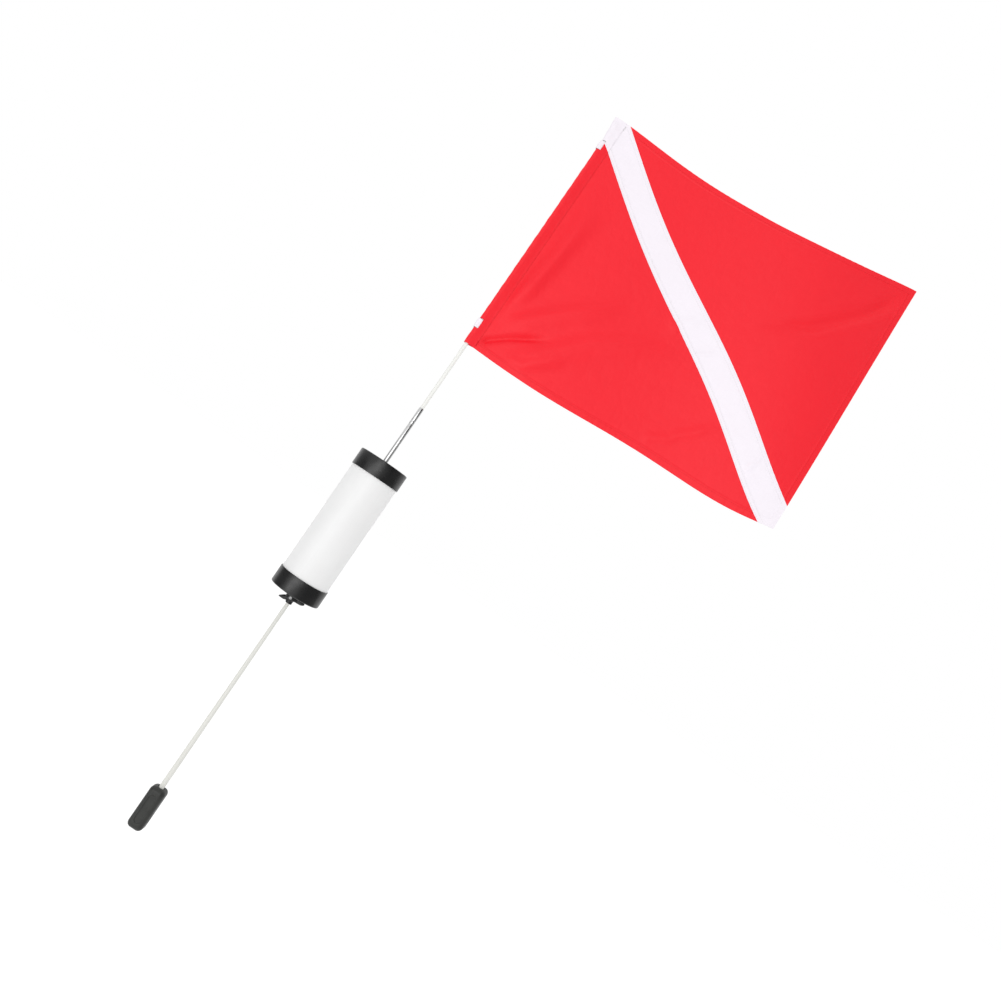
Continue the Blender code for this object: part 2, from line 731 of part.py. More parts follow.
def make_weight(collection, cutters):
    """Make the weight: a slug on the rod's foot under a dipped coat."""
    middle = (WEIGHT_TOP + WEIGHT_FOOT) / 2
    side = WEIGHT_WIDTH / 2
    room_foot = WEIGHT_FOOT + COAT
    room_head = WEIGHT_TOP - COAT
    room_round = WEIGHT_ROUND - COAT
    coat = rounded_block("weight_coat", WEIGHT_WIDTH, WEIGHT_FOOT, WEIGHT_TOP, WEIGHT_ROUND)
    room = rounded_block("coat_room", WEIGHT_WIDTH - 2 * COAT, room_foot, room_head, room_round)
    combine(coat, room, "DIFFERENCE", cutters)
    slug = rounded_block(
        "weight_slug",
        SLUG_WIDTH,
        room_foot + FIT_GAP,
        room_head - FIT_GAP,
        room_round - FIT_GAP,
    )

    seat_r = ROD_FOOT_R + FIT_GAP
    seat_foot = WEIGHT_TOP - ROD_IN_WEIGHT - FIT_GAP
    seat_top = (0, 0, WEIGHT_TOP + CUT_OVERRUN)
    seat = rod("slug_seat", seat_r, (0, 0, seat_foot), seat_top)
    combine(slug, seat, "DIFFERENCE", cutters)
    entry = rod("coat_entry", seat_r, (0, 0, WEIGHT_TOP - 2 * COAT), seat_top)
    combine(coat, entry, "DIFFERENCE", cutters)
    sink = rod(
        "coat_countersink",
        seat_r,
        (0, 0, WEIGHT_TOP - ROD_COUNTERSINK),
        seat_top,
        end_radius=seat_r + ROD_COUNTERSINK + CUT_OVERRUN,
    )
    combine(coat, sink, "DIFFERENCE", cutters)

    for name, facing in (("front", -1), ("back", 1)):
        oblong = extruded(
            f"coat_recess_{name}",
            [stadium(RECESS_LENGTH, RECESS_WIDTH)],
            -CUT_OVERRUN,
            RECESS_DEPTH,
        )
        oblong.data.transform(Matrix.Rotation(facing * math.pi / 2, 4, "X"))
        oblong.data.transform(Matrix.Translation((0, facing * side, middle)))
        combine(coat, oblong, "DIFFERENCE", cutters)
    slot_middle = WEIGHT_FOOT + SLOT_ABOVE_FOOT + SLOT_LENGTH / 2
    for name, facing in (("left", -1), ("right", 1)):
        near = facing * (side - SLOT_DEPTH)
        far = facing * (side + CUT_OVERRUN)
        slot = box(
            f"coat_slot_{name}",
            (min(near, far), -SLOT_WIDTH / 2, slot_middle - SLOT_LENGTH / 2),
            (max(near, far), SLOT_WIDTH / 2, slot_middle + SLOT_LENGTH / 2),
        )
        combine(coat, slot, "DIFFERENCE", cutters)
    finish(coat, collection, BLACK_VINYL)
    finish(slug, collection, LEAD)


# Mast


def make_mast(collection):
    """Make the upper rod with its spigot, the metal sleeve above the joint and the tip."""
    chamfer = ROD_R / 6
    outline = [
        (0, MAST_TOP),
        (ROD_R - chamfer, MAST_TOP),
        (ROD_R, MAST_TOP - chamfer),
        (ROD_R, SPIGOT_FOOT + chamfer),
        (ROD_R - chamfer, SPIGOT_FOOT),
        (0, SPIGOT_FOOT),
    ]
    upper_rod = turned("upper_rod", outline, SMALL_FACETS, closed=False)
    finish(upper_rod, collection, WHITE_ROD)

    foot = JOINT_Z + FIT_GAP
    top = JOINT_Z + SLEEVE_LENGTH
    crimp = SOCKET_WALL / 2
    sleeve = turned(
        "mast_sleeve",
        [
            (SOCKET_BORE_R, top),
            (SOCKET_R - crimp, top),
            (SOCKET_R, top - crimp),
            (SOCKET_R, foot + crimp),
            (SOCKET_R - crimp, foot),
            (SOCKET_BORE_R, foot),
        ],
        SMALL_FACETS,
        closed=True,
    )
    finish(sleeve, collection, STEEL)

    tip_bore = ROD_R + FIT_GAP
    tip_r = tip_bore + TIP_WALL
    tip_top = MAST_TOP + FIT_GAP + TIP_END
    tip_foot = tip_top - TIP_LENGTH
    tip = turned(
        "mast_tip",
        [
            (0, tip_top),
            (tip_r - TIP_END, tip_top),
            (tip_r, tip_top - TIP_END),
            (tip_r, tip_foot),
            (tip_bore, tip_foot),
            (tip_bore, MAST_TOP + FIT_GAP),
            (0, MAST_TOP + FIT_GAP),
        ],
        SMALL_FACETS,
        closed=False,
    )
    finish(tip, collection, BLACK_VINYL)


# Flag


def smooth_share(share):
    """Ease a share from 0 to 1."""
    share = min(max(share, 0), 1)
    return share * share * (3 - 2 * share)


def off_line(spot, points):
    """Return a spot's distance from a line of points and its nearest place on it, as a share."""
    spans = [(end - start).length for start, end in zip(points, points[1:])]
    nearest, place, gone = None, 0, 0
    for start, end, span in zip(points, points[1:], spans):
        share = min(max((spot - start).dot(end - start) / span**2, 0), 1)
        off = (spot - start.lerp(end, share)).length
        if nearest is None or off < nearest:
            nearest, place = off, gone + share * span
        gone += span
    return nearest, place / gone


def fold_lift(along, up):
    """Return how far the folds lift a point of the flat cloth towards -Y."""
    lift = 0
    for line, wide_share, deep_share in zip(FOLD_LINE_SHARES, FOLD_WIDTH_SHARES, FOLD_DEPTH_SHARES):
        points = [Vector((fly * FLAG_FLY, hoist * FLAG_HOIST)) for fly, hoist in line]
        off, place = off_line(Vector((along, up)), points)
        taper = smooth_share(place / FOLD_START_SHARE) * smooth_share((1 - place) / FOLD_END_SHARE)
        lift += FOLD_DEPTH * deep_share * taper * math.exp(-((off / (FOLD_WIDTH * wide_share)) ** 2))
    return lift


def drape(along, up):
    """Place a point of the flat cloth, measured from the hoist's edge and foot."""
    past_seam = max(along - SEAM, 0)
    across_share = past_seam / (FLAG_FLY - SEAM)
    up_share = up / FLAG_HOIST
    bow_power = BOW_FOOT_POWER + (BOW_HEAD_POWER - BOW_FOOT_POWER) * up_share
    bow_share = math.sin(math.pi * across_share**bow_power) ** 1.2 if 0 < across_share < 1 else 0

    sag = FOOT_SAG + (HEAD_SAG - FOOT_SAG) * up_share
    lift = CROWN * 4 * up_share * (1 - up_share) - sag
    height = FLAG_FOOT + up + FLY_RISE * across_share + bow_share * lift
    height += FLY_HEAD_RISE * smooth_share(2 * across_share - 1) * up_share**2
    height -= BEND * math.sin(math.tau * BEND_SHARE * across_share)

    wave = BILLOW_SHARE * across_share + BILLOW_SLANT_SHARE * (up_share - 1)
    depth = BILLOW * across_share * math.sin(math.tau * wave)
    depth -= fold_lift(along, up) * smooth_share(past_seam / FOLD_WIDTH)
    drawn = DRAWN_FOOT_SHARE + (DRAWN_HEAD_SHARE - DRAWN_FOOT_SHARE) * up_share
    return (POCKET_DEPTH + past_seam * drawn, depth, height)


def stripe_side(offset):
    """Return a point and the upward normal of a line beside the stripe's centre line."""
    hoist_end = Vector((0, STRIPE_HOIST_SHARE * FLAG_HOIST, 0))
    fly_end = Vector((FLAG_FLY, STRIPE_FLY_SHARE * FLAG_HOIST, 0))
    run = (fly_end - hoist_end).normalized()
    normal = Vector((-run.y, run.x, 0))
    return hoist_end + normal * offset, normal


def cloth_piece(name, look, above, below, collection):
    """Cut a cloth piece from the flag's flat grid, drape it and give it its thickness."""
    start = SEAM + FIT_GAP
    columns = round((FLAG_FLY - start) / CLOTH_CELL)
    rows = round(FLAG_HOIST / CLOTH_CELL)
    bm = bmesh.new()
    bmesh.ops.create_grid(bm, x_segments=columns, y_segments=rows, size=1)
    middle = Vector(((FLAG_FLY + start) / 2, FLAG_HOIST / 2, 0))
    bmesh.ops.scale(bm, vec=((FLAG_FLY - start) / 2, FLAG_HOIST / 2, 1), verts=bm.verts)
    bmesh.ops.translate(bm, vec=middle, verts=bm.verts)
    for offset, keep_above in ((above, True), (below, False)):
        if offset is None:
            continue
        point, normal = stripe_side(offset)
        bmesh.ops.bisect_plane(
            bm,
            geom=bm.verts[:] + bm.edges[:] + bm.faces[:],
            dist=MERGE,
            plane_co=point,
            plane_no=normal,
            clear_inner=keep_above,
            clear_outer=not keep_above,
        )
    for vert in bm.verts:
        vert.co = drape(vert.co.x, vert.co.y)
    bmesh.ops.recalc_face_normals(bm, faces=bm.faces)
    piece = mesh_object(name, bm)
    thick = piece.modifiers.new("Cloth", "SOLIDIFY")
    thick.thickness = CLOTH
    thick.offset = 0
    apply_modifiers(piece)
    return finish(piece, collection, look)


def above_border(name, lift):
    """Return the block above the slanting line where the red pocket meets its white top."""
    reach = POCKET_DEPTH + CUT_OVERRUN
    foot = BORDER_Z + BORDER_SLOPE * POCKET_R + lift
    block = box(name, (-reach, -reach, foot), (reach, reach, FLAG_HEAD + reach))
    for vert in block.data.vertices:
        vert.co.z += BORDER_SLOPE * vert.co.x
    return block


def head_section(outline, radius, inset, head_half, height):
    """Return the pocket's outline at a height: its nose flares and its sides close towards the head."""
    flare_share = max((height - BORDER_Z) / (FLAG_HEAD - BORDER_Z), 0)
    flare = 1 + ((POCKET_HEAD_NOSE - inset) / radius - 1) * flare_share
    shut_share = smooth_share((height - FLAG_HEAD + POCKET_SHUT) / POCKET_SHUT)
    narrow = 1 + (head_half / radius - 1) * shut_share
    return [(x * flare if x < 0 else x, y * narrow) for x, y in outline]


def make_flag(collection, cutters):
    """Make the two panels, the stripe, the pocket and the two straps round the mast."""
    half = STRIPE_WIDTH / 2
    seam_gap = FIT_GAP / 2
    cloth_piece("flag_panel_lower", RED_CLOTH, None, -half - seam_gap, collection)
    cloth_piece("flag_stripe", WHITE_CLOTH, -half + seam_gap, half - seam_gap, collection)
    cloth_piece("flag_panel_upper", RED_CLOTH, half + seam_gap, None, collection)

    outer = teardrop(POCKET_R, POCKET_DEPTH)
    inner = teardrop(POCKET_BORE_R, POCKET_DEPTH - 2 * POCKET_R / 3)
    pocket = extruded("hoist_pocket", [outer, inner], FLAG_FOOT, BORDER_Z + CUT_OVERRUN)
    combine(pocket, above_border("pocket_limit", 0), "DIFFERENCE", cutters)

    top_foot = BORDER_Z + BORDER_SLOPE * SEAM
    shut = [FLAG_HEAD - POCKET_SHUT * step / ARC_STEPS for step in range(ARC_STEPS, 0, -1)]
    room_head = FLAG_HEAD - POCKET_HEAD_HEM
    heights = [top_foot, BORDER_Z, *shut, FLAG_HEAD]
    outlines = [head_section(outer, POCKET_R, 0, CLOTH + FIT_GAP, height) for height in heights]
    pocket_top = lofted("hoist_pocket_top", outlines, heights)
    heights = [top_foot - CUT_OVERRUN, BORDER_Z, *shut[:-1], room_head]
    outlines = [head_section(inner, POCKET_BORE_R, CLOTH, FIT_GAP, height) for height in heights]
    combine(pocket_top, lofted("pocket_room", outlines, heights), "DIFFERENCE", cutters)
    combine(pocket_top, above_border("pocket_top_limit", FIT_GAP), "INTERSECT", cutters)

    for name, height in (("lower", LOWER_NOTCH), ("upper", UPPER_NOTCH)):
        middle = FLAG_FOOT + height
        notch = box(
            f"pocket_notch_{name}",
            (-POCKET_HEAD_NOSE - CUT_OVERRUN, -POCKET_R - CUT_OVERRUN, middle - NOTCH_HEIGHT / 2),
            (NOTCH_DEPTH, POCKET_R + CUT_OVERRUN, middle + NOTCH_HEIGHT / 2),
        )
        combine(pocket, notch, "DIFFERENCE", cutters)
        if name == "upper":
            combine(pocket_top, notch, "DIFFERENCE", cutters)
        strap_bore_r = ROD_R + FIT_GAP
        strap_r = strap_bore_r + STRAP_THICKNESS
        strap = extruded(
            f"strap_{name}",
            [loop(strap_r, STRAP_BULGE), loop(strap_bore_r, STRAP_BULGE - STRAP_THICKNESS)],
            middle - STRAP_HEIGHT / 2,
            middle + STRAP_HEIGHT / 2,
        )
        finish(strap, collection, WHITE_CLOTH)
    finish(pocket, collection, RED_CLOTH)
    finish(pocket_top, collection, WHITE_CLOTH)


def main():
    """Build the whole dive flag float."""
    clear_scene()
    pieces = new_collection("dive_flag_float")
    cutters = new_collection("cutters")
    make_float(pieces, cutters)
    make_rod(pieces)
    make_socket(pieces, cutters)
    make_cleat(pieces, cutters)
    make_weight(pieces, cutters)
    make_mast(pieces)
    make_flag(pieces, cutters)


main()
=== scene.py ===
"""Dive flag float: the dressed model, its finishes, and the studio that it is photographed in.

Metres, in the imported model's frame: +Z up the pole, the flag flies towards +X and the cleat's
screw faces -Y. The origin is on the pole's axis at mid height of the float.
"""

import logging
import math
from collections.abc import Callable, Iterator, Sequence
from contextlib import contextmanager
from dataclasses import dataclass, field
from enum import Enum

import bmesh
import bpy
from mathutils import Matrix, Vector

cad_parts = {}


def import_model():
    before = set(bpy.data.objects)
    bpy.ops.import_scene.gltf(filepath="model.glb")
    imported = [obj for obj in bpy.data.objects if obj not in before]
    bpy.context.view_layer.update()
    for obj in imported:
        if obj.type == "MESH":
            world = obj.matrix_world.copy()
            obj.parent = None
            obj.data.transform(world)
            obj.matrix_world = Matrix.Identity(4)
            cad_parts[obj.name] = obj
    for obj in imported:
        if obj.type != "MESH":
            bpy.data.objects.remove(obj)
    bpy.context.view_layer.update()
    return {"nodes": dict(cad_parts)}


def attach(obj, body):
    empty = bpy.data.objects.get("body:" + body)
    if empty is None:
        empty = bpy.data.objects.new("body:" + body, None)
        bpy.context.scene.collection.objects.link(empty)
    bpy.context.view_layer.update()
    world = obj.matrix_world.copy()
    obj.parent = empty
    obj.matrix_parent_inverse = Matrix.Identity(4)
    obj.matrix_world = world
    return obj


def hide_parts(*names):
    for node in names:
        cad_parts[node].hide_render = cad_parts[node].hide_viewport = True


LOG = logging.getLogger("dive_flag_float")
WELD = 0.000004
GAP = 0.0003
QUARTER = math.pi / 2
AXIS = (0.0, 0.0, 0.0)
WHITE = (1.0, 1.0, 1.0, 1.0)
BLACK = (0.0, 0.0, 0.0, 1.0)
Place = Callable[[Vector], bool]
Flat = tuple[float, float]
Triple = tuple[float, float, float]
Corner = Triple  # Of a turned outline: distance from the axis, height, and rounding radius.
Socket = bpy.types.NodeSocket


class Body(Enum):
    """The bodies that the pieces ride on."""

    FLOAT = "float"
    POLE = "pole"
    MAST = "mast"
    FLAG = "flag"


class Part(Enum):
    """What an edit mode selection is made of."""

    CORNERS = "VERT"
    EDGES = "EDGE"
    FACES = "FACE"


class Blend(Enum):
    """How one solid is worked into another."""

    JOIN = "UNION"
    CUT = "DIFFERENCE"


# Modelling


def softened(outline: Sequence[Corner], steps: int) -> list[Vector]:
    """Round the corners of an outline, which is open where it starts on the axis and closed otherwise.

    Args:
        outline: The corners, in order.
        steps: The facets of each rounding.

    Returns:
        The points of the rounded outline, in the XZ plane.
    """
    points: list[Vector] = []
    spots = [Vector((r, 0, z)) for r, z, _ in outline]
    for index, (_, _, rounding) in enumerate(outline):
        spot = spots[index]
        at_end = index in (0, len(outline) - 1) and outline[0][0] == 0
        if rounding <= 0 or at_end:
            points.append(spot)
            continue
        back = (spots[index - 1] - spot).normalized()
        ahead = (spots[(index + 1) % len(spots)] - spot).normalized()
        half = back.angle(ahead) / 2
        middle = spot + (back + ahead).normalized() * (rounding / math.sin(half))
        reach = rounding / math.tan(half)
        first, last = spot + back * reach - middle, spot + ahead * reach - middle
        sweep = first.angle(last)
        for step in range(steps + 1):
            share = step / steps
            near, far = math.sin((1 - share) * sweep), math.sin(share * sweep)
            points.append(middle + (first * near + last * far) / math.sin(sweep))
    return points


def netted(rows: int, wide: int, closed: bool = False) -> list[list[int]]:
    """Join a net of points, given row by row, into faces.

    Args:
        rows: The rows of faces.
        wide: The points in a row.
        closed: Whether each row runs round in a ring.

    Returns:
        The faces, as indices of points.
    """
    faces = []
    for row in range(rows):
        for column in range(wide if closed else wide - 1):
            here, there = row * wide + column, row * wide + (column + 1) % wide
            faces.append([here, there, there + wide, here + wide])
    return faces


class Piece:
    """A piece on the bench: started from a primitive, shaped in edit mode and then finished."""

    def __init__(self, obj: bpy.types.Object, name: str) -> None:
        """Take an object and give it its name."""
        self.obj = obj
        obj.name = obj.data.name = name

    @classmethod
    def started(cls, name: str, add: Callable[..., set], **settings: object) -> "Piece":
        """Add a primitive with nothing else selected, and put its place in its mesh.

        Args:
            name: The piece's name.
            add: The operator that adds the primitive.
            settings: The primitive's own size and place.

        Returns:
            The piece.
        """
        bpy.ops.object.select_all(action="DESELECT")
        add(**settings)
        piece = cls(bpy.context.active_object, name)
        bpy.ops.object.transform_apply(location=True, rotation=True, scale=True)
        return piece

    @classmethod
    def box(cls, name: str, size: Triple, at: Triple) -> "Piece":
        """Start a piece from a block."""
        return cls.started(name, bpy.ops.mesh.primitive_cube_add, size=1, location=at, scale=size)

    @classmethod
    def cylinder(
        cls, name: str, radius: float, depth: float, facets: int, at: Triple = AXIS, turn: Triple = AXIS
    ) -> "Piece":
        """Start a piece from a cylinder, upright unless it is turned."""
        size = {"radius": radius, "depth": depth, "vertices": facets}
        return cls.started(name, bpy.ops.mesh.primitive_cylinder_add, location=at, rotation=turn, **size)

    @classmethod
    def turned(cls, name: str, outline: Sequence[Corner], facets: int, steps: int = 5) -> "Piece":
        """Draw an outline point by point from a plane and spin it round Z.

        Args:
            name: The piece's name.
            outline: The outline's corners, from the axis and back to it, or else all round a bored wall.
            facets: The steps of the spin.
            steps: The facets of each rounded corner.

        Returns:
            The turned piece, welded and facing outwards.
        """
        points = softened(outline, steps)
        piece = cls.started(name, bpy.ops.mesh.primitive_plane_add, size=WELD, location=points[0])
        with piece.editing():
            bpy.ops.mesh.merge(type="CENTER")
            for here, there in zip(points, points[1:]):
                bpy.ops.mesh.extrude_region_move(TRANSFORM_OT_translate={"value": there - here})
            if outline[0][0] > 0:
                ends = (points[0], points[-1])
                piece.pick(Part.CORNERS, lambda spot: any((spot - end).length < WELD for end in ends))
                bpy.ops.mesh.edge_face_add()
            bpy.ops.mesh.select_all(action="SELECT")
            bpy.ops.mesh.spin(steps=facets, angle=math.tau, center=(0, 0, 0), axis=(0, 0, 1))
        return piece.welded()

    @classmethod
    def from_faces(
        cls,
        name: str,
        corners: Sequence[Sequence[float]],
        faces: Sequence[Sequence[int]],
        flat: Sequence[Flat] | None = None,
    ) -> "Piece":
        """Make a piece of cloth or thread from its points, with a UV map where flat is given.

        Args:
            name: The piece's name.
            corners: The points.
            faces: The faces, as indices of points.
            flat: Each point's place on the flat cloth, in metres.

        Returns:
            The piece.
        """
        mesh = bpy.data.meshes.new(name)
        mesh.from_pydata([tuple(c) for c in corners], [], [tuple(f) for f in faces])
        mesh.validate()
        if flat is not None:
            layer = mesh.uv_layers.new(name="flat")
            for loop in mesh.loops:
                layer.data[loop.index].uv = flat[loop.vertex_index]
        obj = bpy.data.objects.new(name, mesh)
        bpy.context.scene.collection.objects.link(obj)
        return cls(obj, name)

    def only(self) -> None:
        """Select this piece alone and make it active."""
        bpy.ops.object.select_all(action="DESELECT")
        self.obj.select_set(True)
        bpy.context.view_layer.objects.active = self.obj

    @contextmanager
    def editing(self) -> Iterator[None]:
        """Hold the piece in edit mode with everything selected, to the end of the with block.

        Yields:
            Nothing: the piece is at hand.
        """
        self.only()
        bpy.ops.object.mode_set(mode="EDIT")
        bpy.ops.mesh.select_mode(type="VERT")
        bpy.ops.mesh.select_all(action="SELECT")
        yield
        bpy.ops.object.mode_set(mode="OBJECT")

    def pick(self, part: Part, place: Place) -> int:
        """Select what lies where the test says.

        Args:
            part: Corners, edges or faces.
            place: The test of each one's middle.

        Returns:
            How many were picked.
        """
        bpy.ops.mesh.select_mode(type=part.value)
        bpy.ops.mesh.select_all(action="DESELECT")
        mesh = bmesh.from_edit_mesh(self.obj.data)
        if part is Part.CORNERS:
            found = [(v, v.co) for v in mesh.verts]
        elif part is Part.EDGES:
            found = [(e, (e.verts[0].co + e.verts[1].co) / 2) for e in mesh.edges]
        else:
            found = [(f, f.calc_center_median()) for f in mesh.faces]
        chosen = [item for item, middle in found if place(middle)]
        for item in chosen:
            item.select_set(True)
        mesh.select_flush_mode()
        bmesh.update_edit_mesh(self.obj.data)
        return len(chosen)

    def bevelled(self, width: float, segments: int, place: Place | None = None) -> "Piece":
        """Round the piece's edges.

        Args:
            width: How far in from each edge the rounding starts.
            segments: Its facets.
            place: The test of each edge's middle, if not all are rounded.

        Returns:
            The piece.
        """
        with self.editing():
            if place is not None:
                self.pick(Part.EDGES, place)
            bpy.ops.mesh.bevel(offset=width, segments=segments, affect="EDGES")
        return self

    def welded(self) -> "Piece":
        """Merge doubled points and turn every face outwards.

        Returns:
            The piece.
        """
        with self.editing():
            bpy.ops.mesh.remove_doubles(threshold=WELD)
            bpy.ops.mesh.normals_make_consistent(inside=False)
        return self

    def worked(self, kind: str, **settings: object) -> "Piece":
        """Apply one modifier to the piece.

        Args:
            kind: The modifier's type.
            settings: Its settings.

        Returns:
            The piece.
        """
        self.only()
        modifier = self.obj.modifiers.new(kind.title(), kind)
        for key, value in settings.items():
            setattr(modifier, key, value)
        bpy.ops.object.modifier_apply(modifier=modifier.name)
        return self

    def worked_into(self, tool: "Piece", how: Blend) -> "Piece":
        """Join or cut the piece with a tool, which is then cleared away.

        Args:
            tool: The other solid.
            how: Whether it joins or cuts.

        Returns:
            The piece.
        """
        self.worked("BOOLEAN", operation=how.value, solver="EXACT", object=tool.obj)
        bpy.data.objects.remove(tool.obj, do_unlink=True)
        return self

    def melted(self, voxel: float, passes: int) -> "Piece":
        """Melt the piece's parts into one skin of small voxels, then smooth that.

        Args:
            voxel: The voxels' size.
            passes: The passes of the smoothing.

        Returns:
            The piece.
        """
        self.worked("REMESH", mode="VOXEL", voxel_size=voxel, use_smooth_shade=True)
        return self.worked("SMOOTH", factor=0.5, iterations=passes)

    def copied(self, name: str, placing: Matrix) -> "Piece":
        """Copy the piece with its own mesh, placed anew.

        Args:
            name: The copy's name.
            placing: Where it goes, from the piece's place.

        Returns:
            The copy.
        """
        obj = self.obj.copy()
        obj.data = self.obj.data.copy()
        bpy.context.scene.collection.objects.link(obj)
        return Piece(obj, name).moved(placing)

    def moved(self, placing: Matrix) -> "Piece":
        """Place the piece's mesh anew."""
        self.obj.data.transform(placing)
        return self

    def smoothed(self, degrees: float = 32) -> "Piece":
        """Shade the piece smooth where its faces meet at less than an angle.

        Args:
            degrees: The angle.

        Returns:
            The piece.
        """
        self.only()
        bpy.ops.object.shade_smooth_by_angle(angle=math.radians(degrees))
        return self

    def fitted(self, body: Body, finish: "Finish", *stands_for: str) -> "Piece":
        """Dress the piece, let it ride on its body and report it.

        Args:
            body: The body that it moves with.
            finish: The finish that it gets.
            stands_for: The CAD nodes that it replaces.

        Returns:
            The piece.
        """
        self.obj.data.materials.clear()
        self.obj.data.materials.append(finish.material())
        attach(self.obj, body.value)
        if stands_for:
            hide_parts(*stands_for)
        self.obj.data.update()
        LOG.info("%s: %d faces, rides on %s", self.obj.name, len(self.obj.data.polygons), body.value)
        return self


# Finishes


class Graph:
    """The node tree of a material or of the world, built one node at a time."""

    def __init__(self, owner: bpy.types.Material | bpy.types.World, shader: str = "Principled BSDF") -> None:
        """Start from the owner's own shader.

        Args:
            owner: The material or the world.
            shader: The name of its shader node.
        """
        owner.use_nodes = True
        self.tree = owner.node_tree
        self.shader = self.tree.nodes[shader]

    def node(self, kind: str, inputs: dict[int | str, object], **settings: object) -> bpy.types.Node:
        """Add a node, set its settings and link or fill its inputs.

        Args:
            kind: The node's type, without its ShaderNode prefix.
            inputs: A socket to link or a value, by input name or number.
            settings: The node's own settings.

        Returns:
            The node.
        """
        made = self.tree.nodes.new("ShaderNode" + kind)
        for key, value in settings.items():
            setattr(made, key, value)
        for key, value in inputs.items():
            self.put(made.inputs[key], value)
        return made

    def put(self, socket: Socket, value: object) -> None:
        """Link a socket or fill it with a value.

        Args:
            socket: The socket.
            value: Another socket, or a plain value.
        """
        if isinstance(value, Socket):
            self.tree.links.new(value, socket)
        else:
            socket.default_value = value

    def set(self, **values: object) -> None:
        """Fill or link the shader's inputs, their names written with underscores."""
        for key, value in values.items():
            self.put(self.shader.inputs[key.replace("_", " ")], value)

    def here(self) -> Socket:
        """Return the place on the object."""
        return self.node("TexCoord", {}).outputs["Object"]

    def flat(self) -> Socket:
        """Return the place on the flat cloth."""
        return self.node("UVMap", {}, uv_map="flat").outputs["UV"]

    def split(self, place: Socket) -> list[Socket]:
        """Return a place's three coordinates."""
        return list(self.node("SeparateXYZ", {0: place}).outputs)

    def noise(self, place: Socket, scale: float | Triple, detail: float = 4, roughness: float = 0.55) -> Socket:
        """Return fractal noise.

        Args:
            place: Where it is looked up.
            scale: Its features per metre, one number or one for each axis.
            detail: Its octaves.
            roughness: How much each octave adds.

        Returns:
            The noise, about 0 to 1.
        """
        if isinstance(scale, tuple):
            place, scale = self.node("Mapping", {"Vector": place, "Scale": scale}).outputs["Vector"], 1.0
        inputs = {"Vector": place, "Scale": scale, "Detail": detail, "Roughness": roughness}
        return self.node("TexNoise", inputs).outputs["Fac"]

    def cells(self, place: Socket, scale: float) -> Socket:
        """Return the distance to the nearest of scattered points."""
        return self.node("TexVoronoi", {"Vector": place, "Scale": scale}).outputs["Distance"]

    def sum(self, operation: str, *values: object) -> Socket:
        """Return a Math node's result."""
        return self.node("Math", dict(enumerate(values)), operation=operation).outputs[0]

    def times(self, first: object, second: object) -> Socket:
        """Return a product."""
        return self.sum("MULTIPLY", first, second)

    def length(self, across: Socket, up: Socket) -> Socket:
        """Return the length of a flat vector."""
        return self.sum("SQRT", self.sum("ADD", self.times(across, across), self.times(up, up)))

    def band(self, value: object, low: float, high: float, dark: float = 0.0, pale: float = 1.0) -> Socket:
        """Map a value from one range to another, held at its ends."""
        inputs = {0: value, 1: low, 2: high, 3: dark, 4: pale}
        return self.node("MapRange", inputs, clamp=True).outputs[0]

    def tint(self, share: object, first: Triple | Socket, second: Triple | Socket) -> Socket:
        """Mix two colours."""
        first, second = (c if isinstance(c, Socket) else (*c, 1.0) for c in (first, second))
        return self.node("Mix", {0: share, 6: first, 7: second}, data_type="RGBA").outputs[2]

    def relief(self, height: object, distance: float, under: Socket | None = None) -> Socket:
        """Return a bumped normal, over another one where it is given.

        Args:
            height: The height's socket.
            distance: The height of 1, in metres.
            under: The normal that it lies over.

        Returns:
            The normal's socket.
        """
        inputs = {"Height": height, "Distance": distance, "Strength": 1.0}
        if under is not None:
            inputs["Normal"] = under
        return self.node("Bump", inputs).outputs["Normal"]

    def ring(self, place: Socket, radius: float, height: float, width: float) -> Socket:
        """Return 1 on both edges at a radius and height above and below the origin, 0 past a width.

        Args:
            place: The place on the object.
            radius: The edges' radius.
            height: Their distance from the origin's level.
            width: The reach of the fade.

        Returns:
            The share's socket.
        """
        x, y, z = self.split(place)
        out = self.sum("SUBTRACT", self.length(x, y), radius)
        up = self.sum("SUBTRACT", self.sum("ABSOLUTE", z), height)
        return self.band(self.length(out, up), 0.0, width, 1.0, 0.0)

    def seen(self, otherwise: float, when_seen: float) -> Socket:
        """Return one value for rays that the eye or a reflection follows, and another for the light.

        Args:
            otherwise: The value for light that falls on the object.
            when_seen: The value for what is looked at, mirrored or seen through.

        Returns:
            The value's socket.
        """
        path = self.node("LightPath", {}).outputs
        rays = self.sum("MAXIMUM", path["Is Camera Ray"], path["Is Glossy Ray"])
        rays = self.sum("MAXIMUM", rays, path["Is Transmission Ray"])
        return self.band(rays, 0.0, 1.0, otherwise, when_seen)


@dataclass(frozen=True)
class Finish:
    """A finish, made into a material once, and the name of its slot."""

    name: str
    slot: str
    colour: Triple

    def material(self) -> bpy.types.Material:
        """Return the material, made the first time.

        Returns:
            The material.
        """
        found = bpy.data.materials.get(self.name)
        if found is None:
            found = bpy.data.materials.new(self.name)
            self.build(Graph(found))
        return found

    def build(self, graph: Graph) -> None:
        """Build the finish's nodes.

        Args:
            graph: The material's node tree.
        """
        raise NotImplementedError

    def shade(self, by: float) -> Triple:
        """Return the colour made lighter or darker."""
        return tuple(min(channel * by, 1.0) for channel in self.colour)


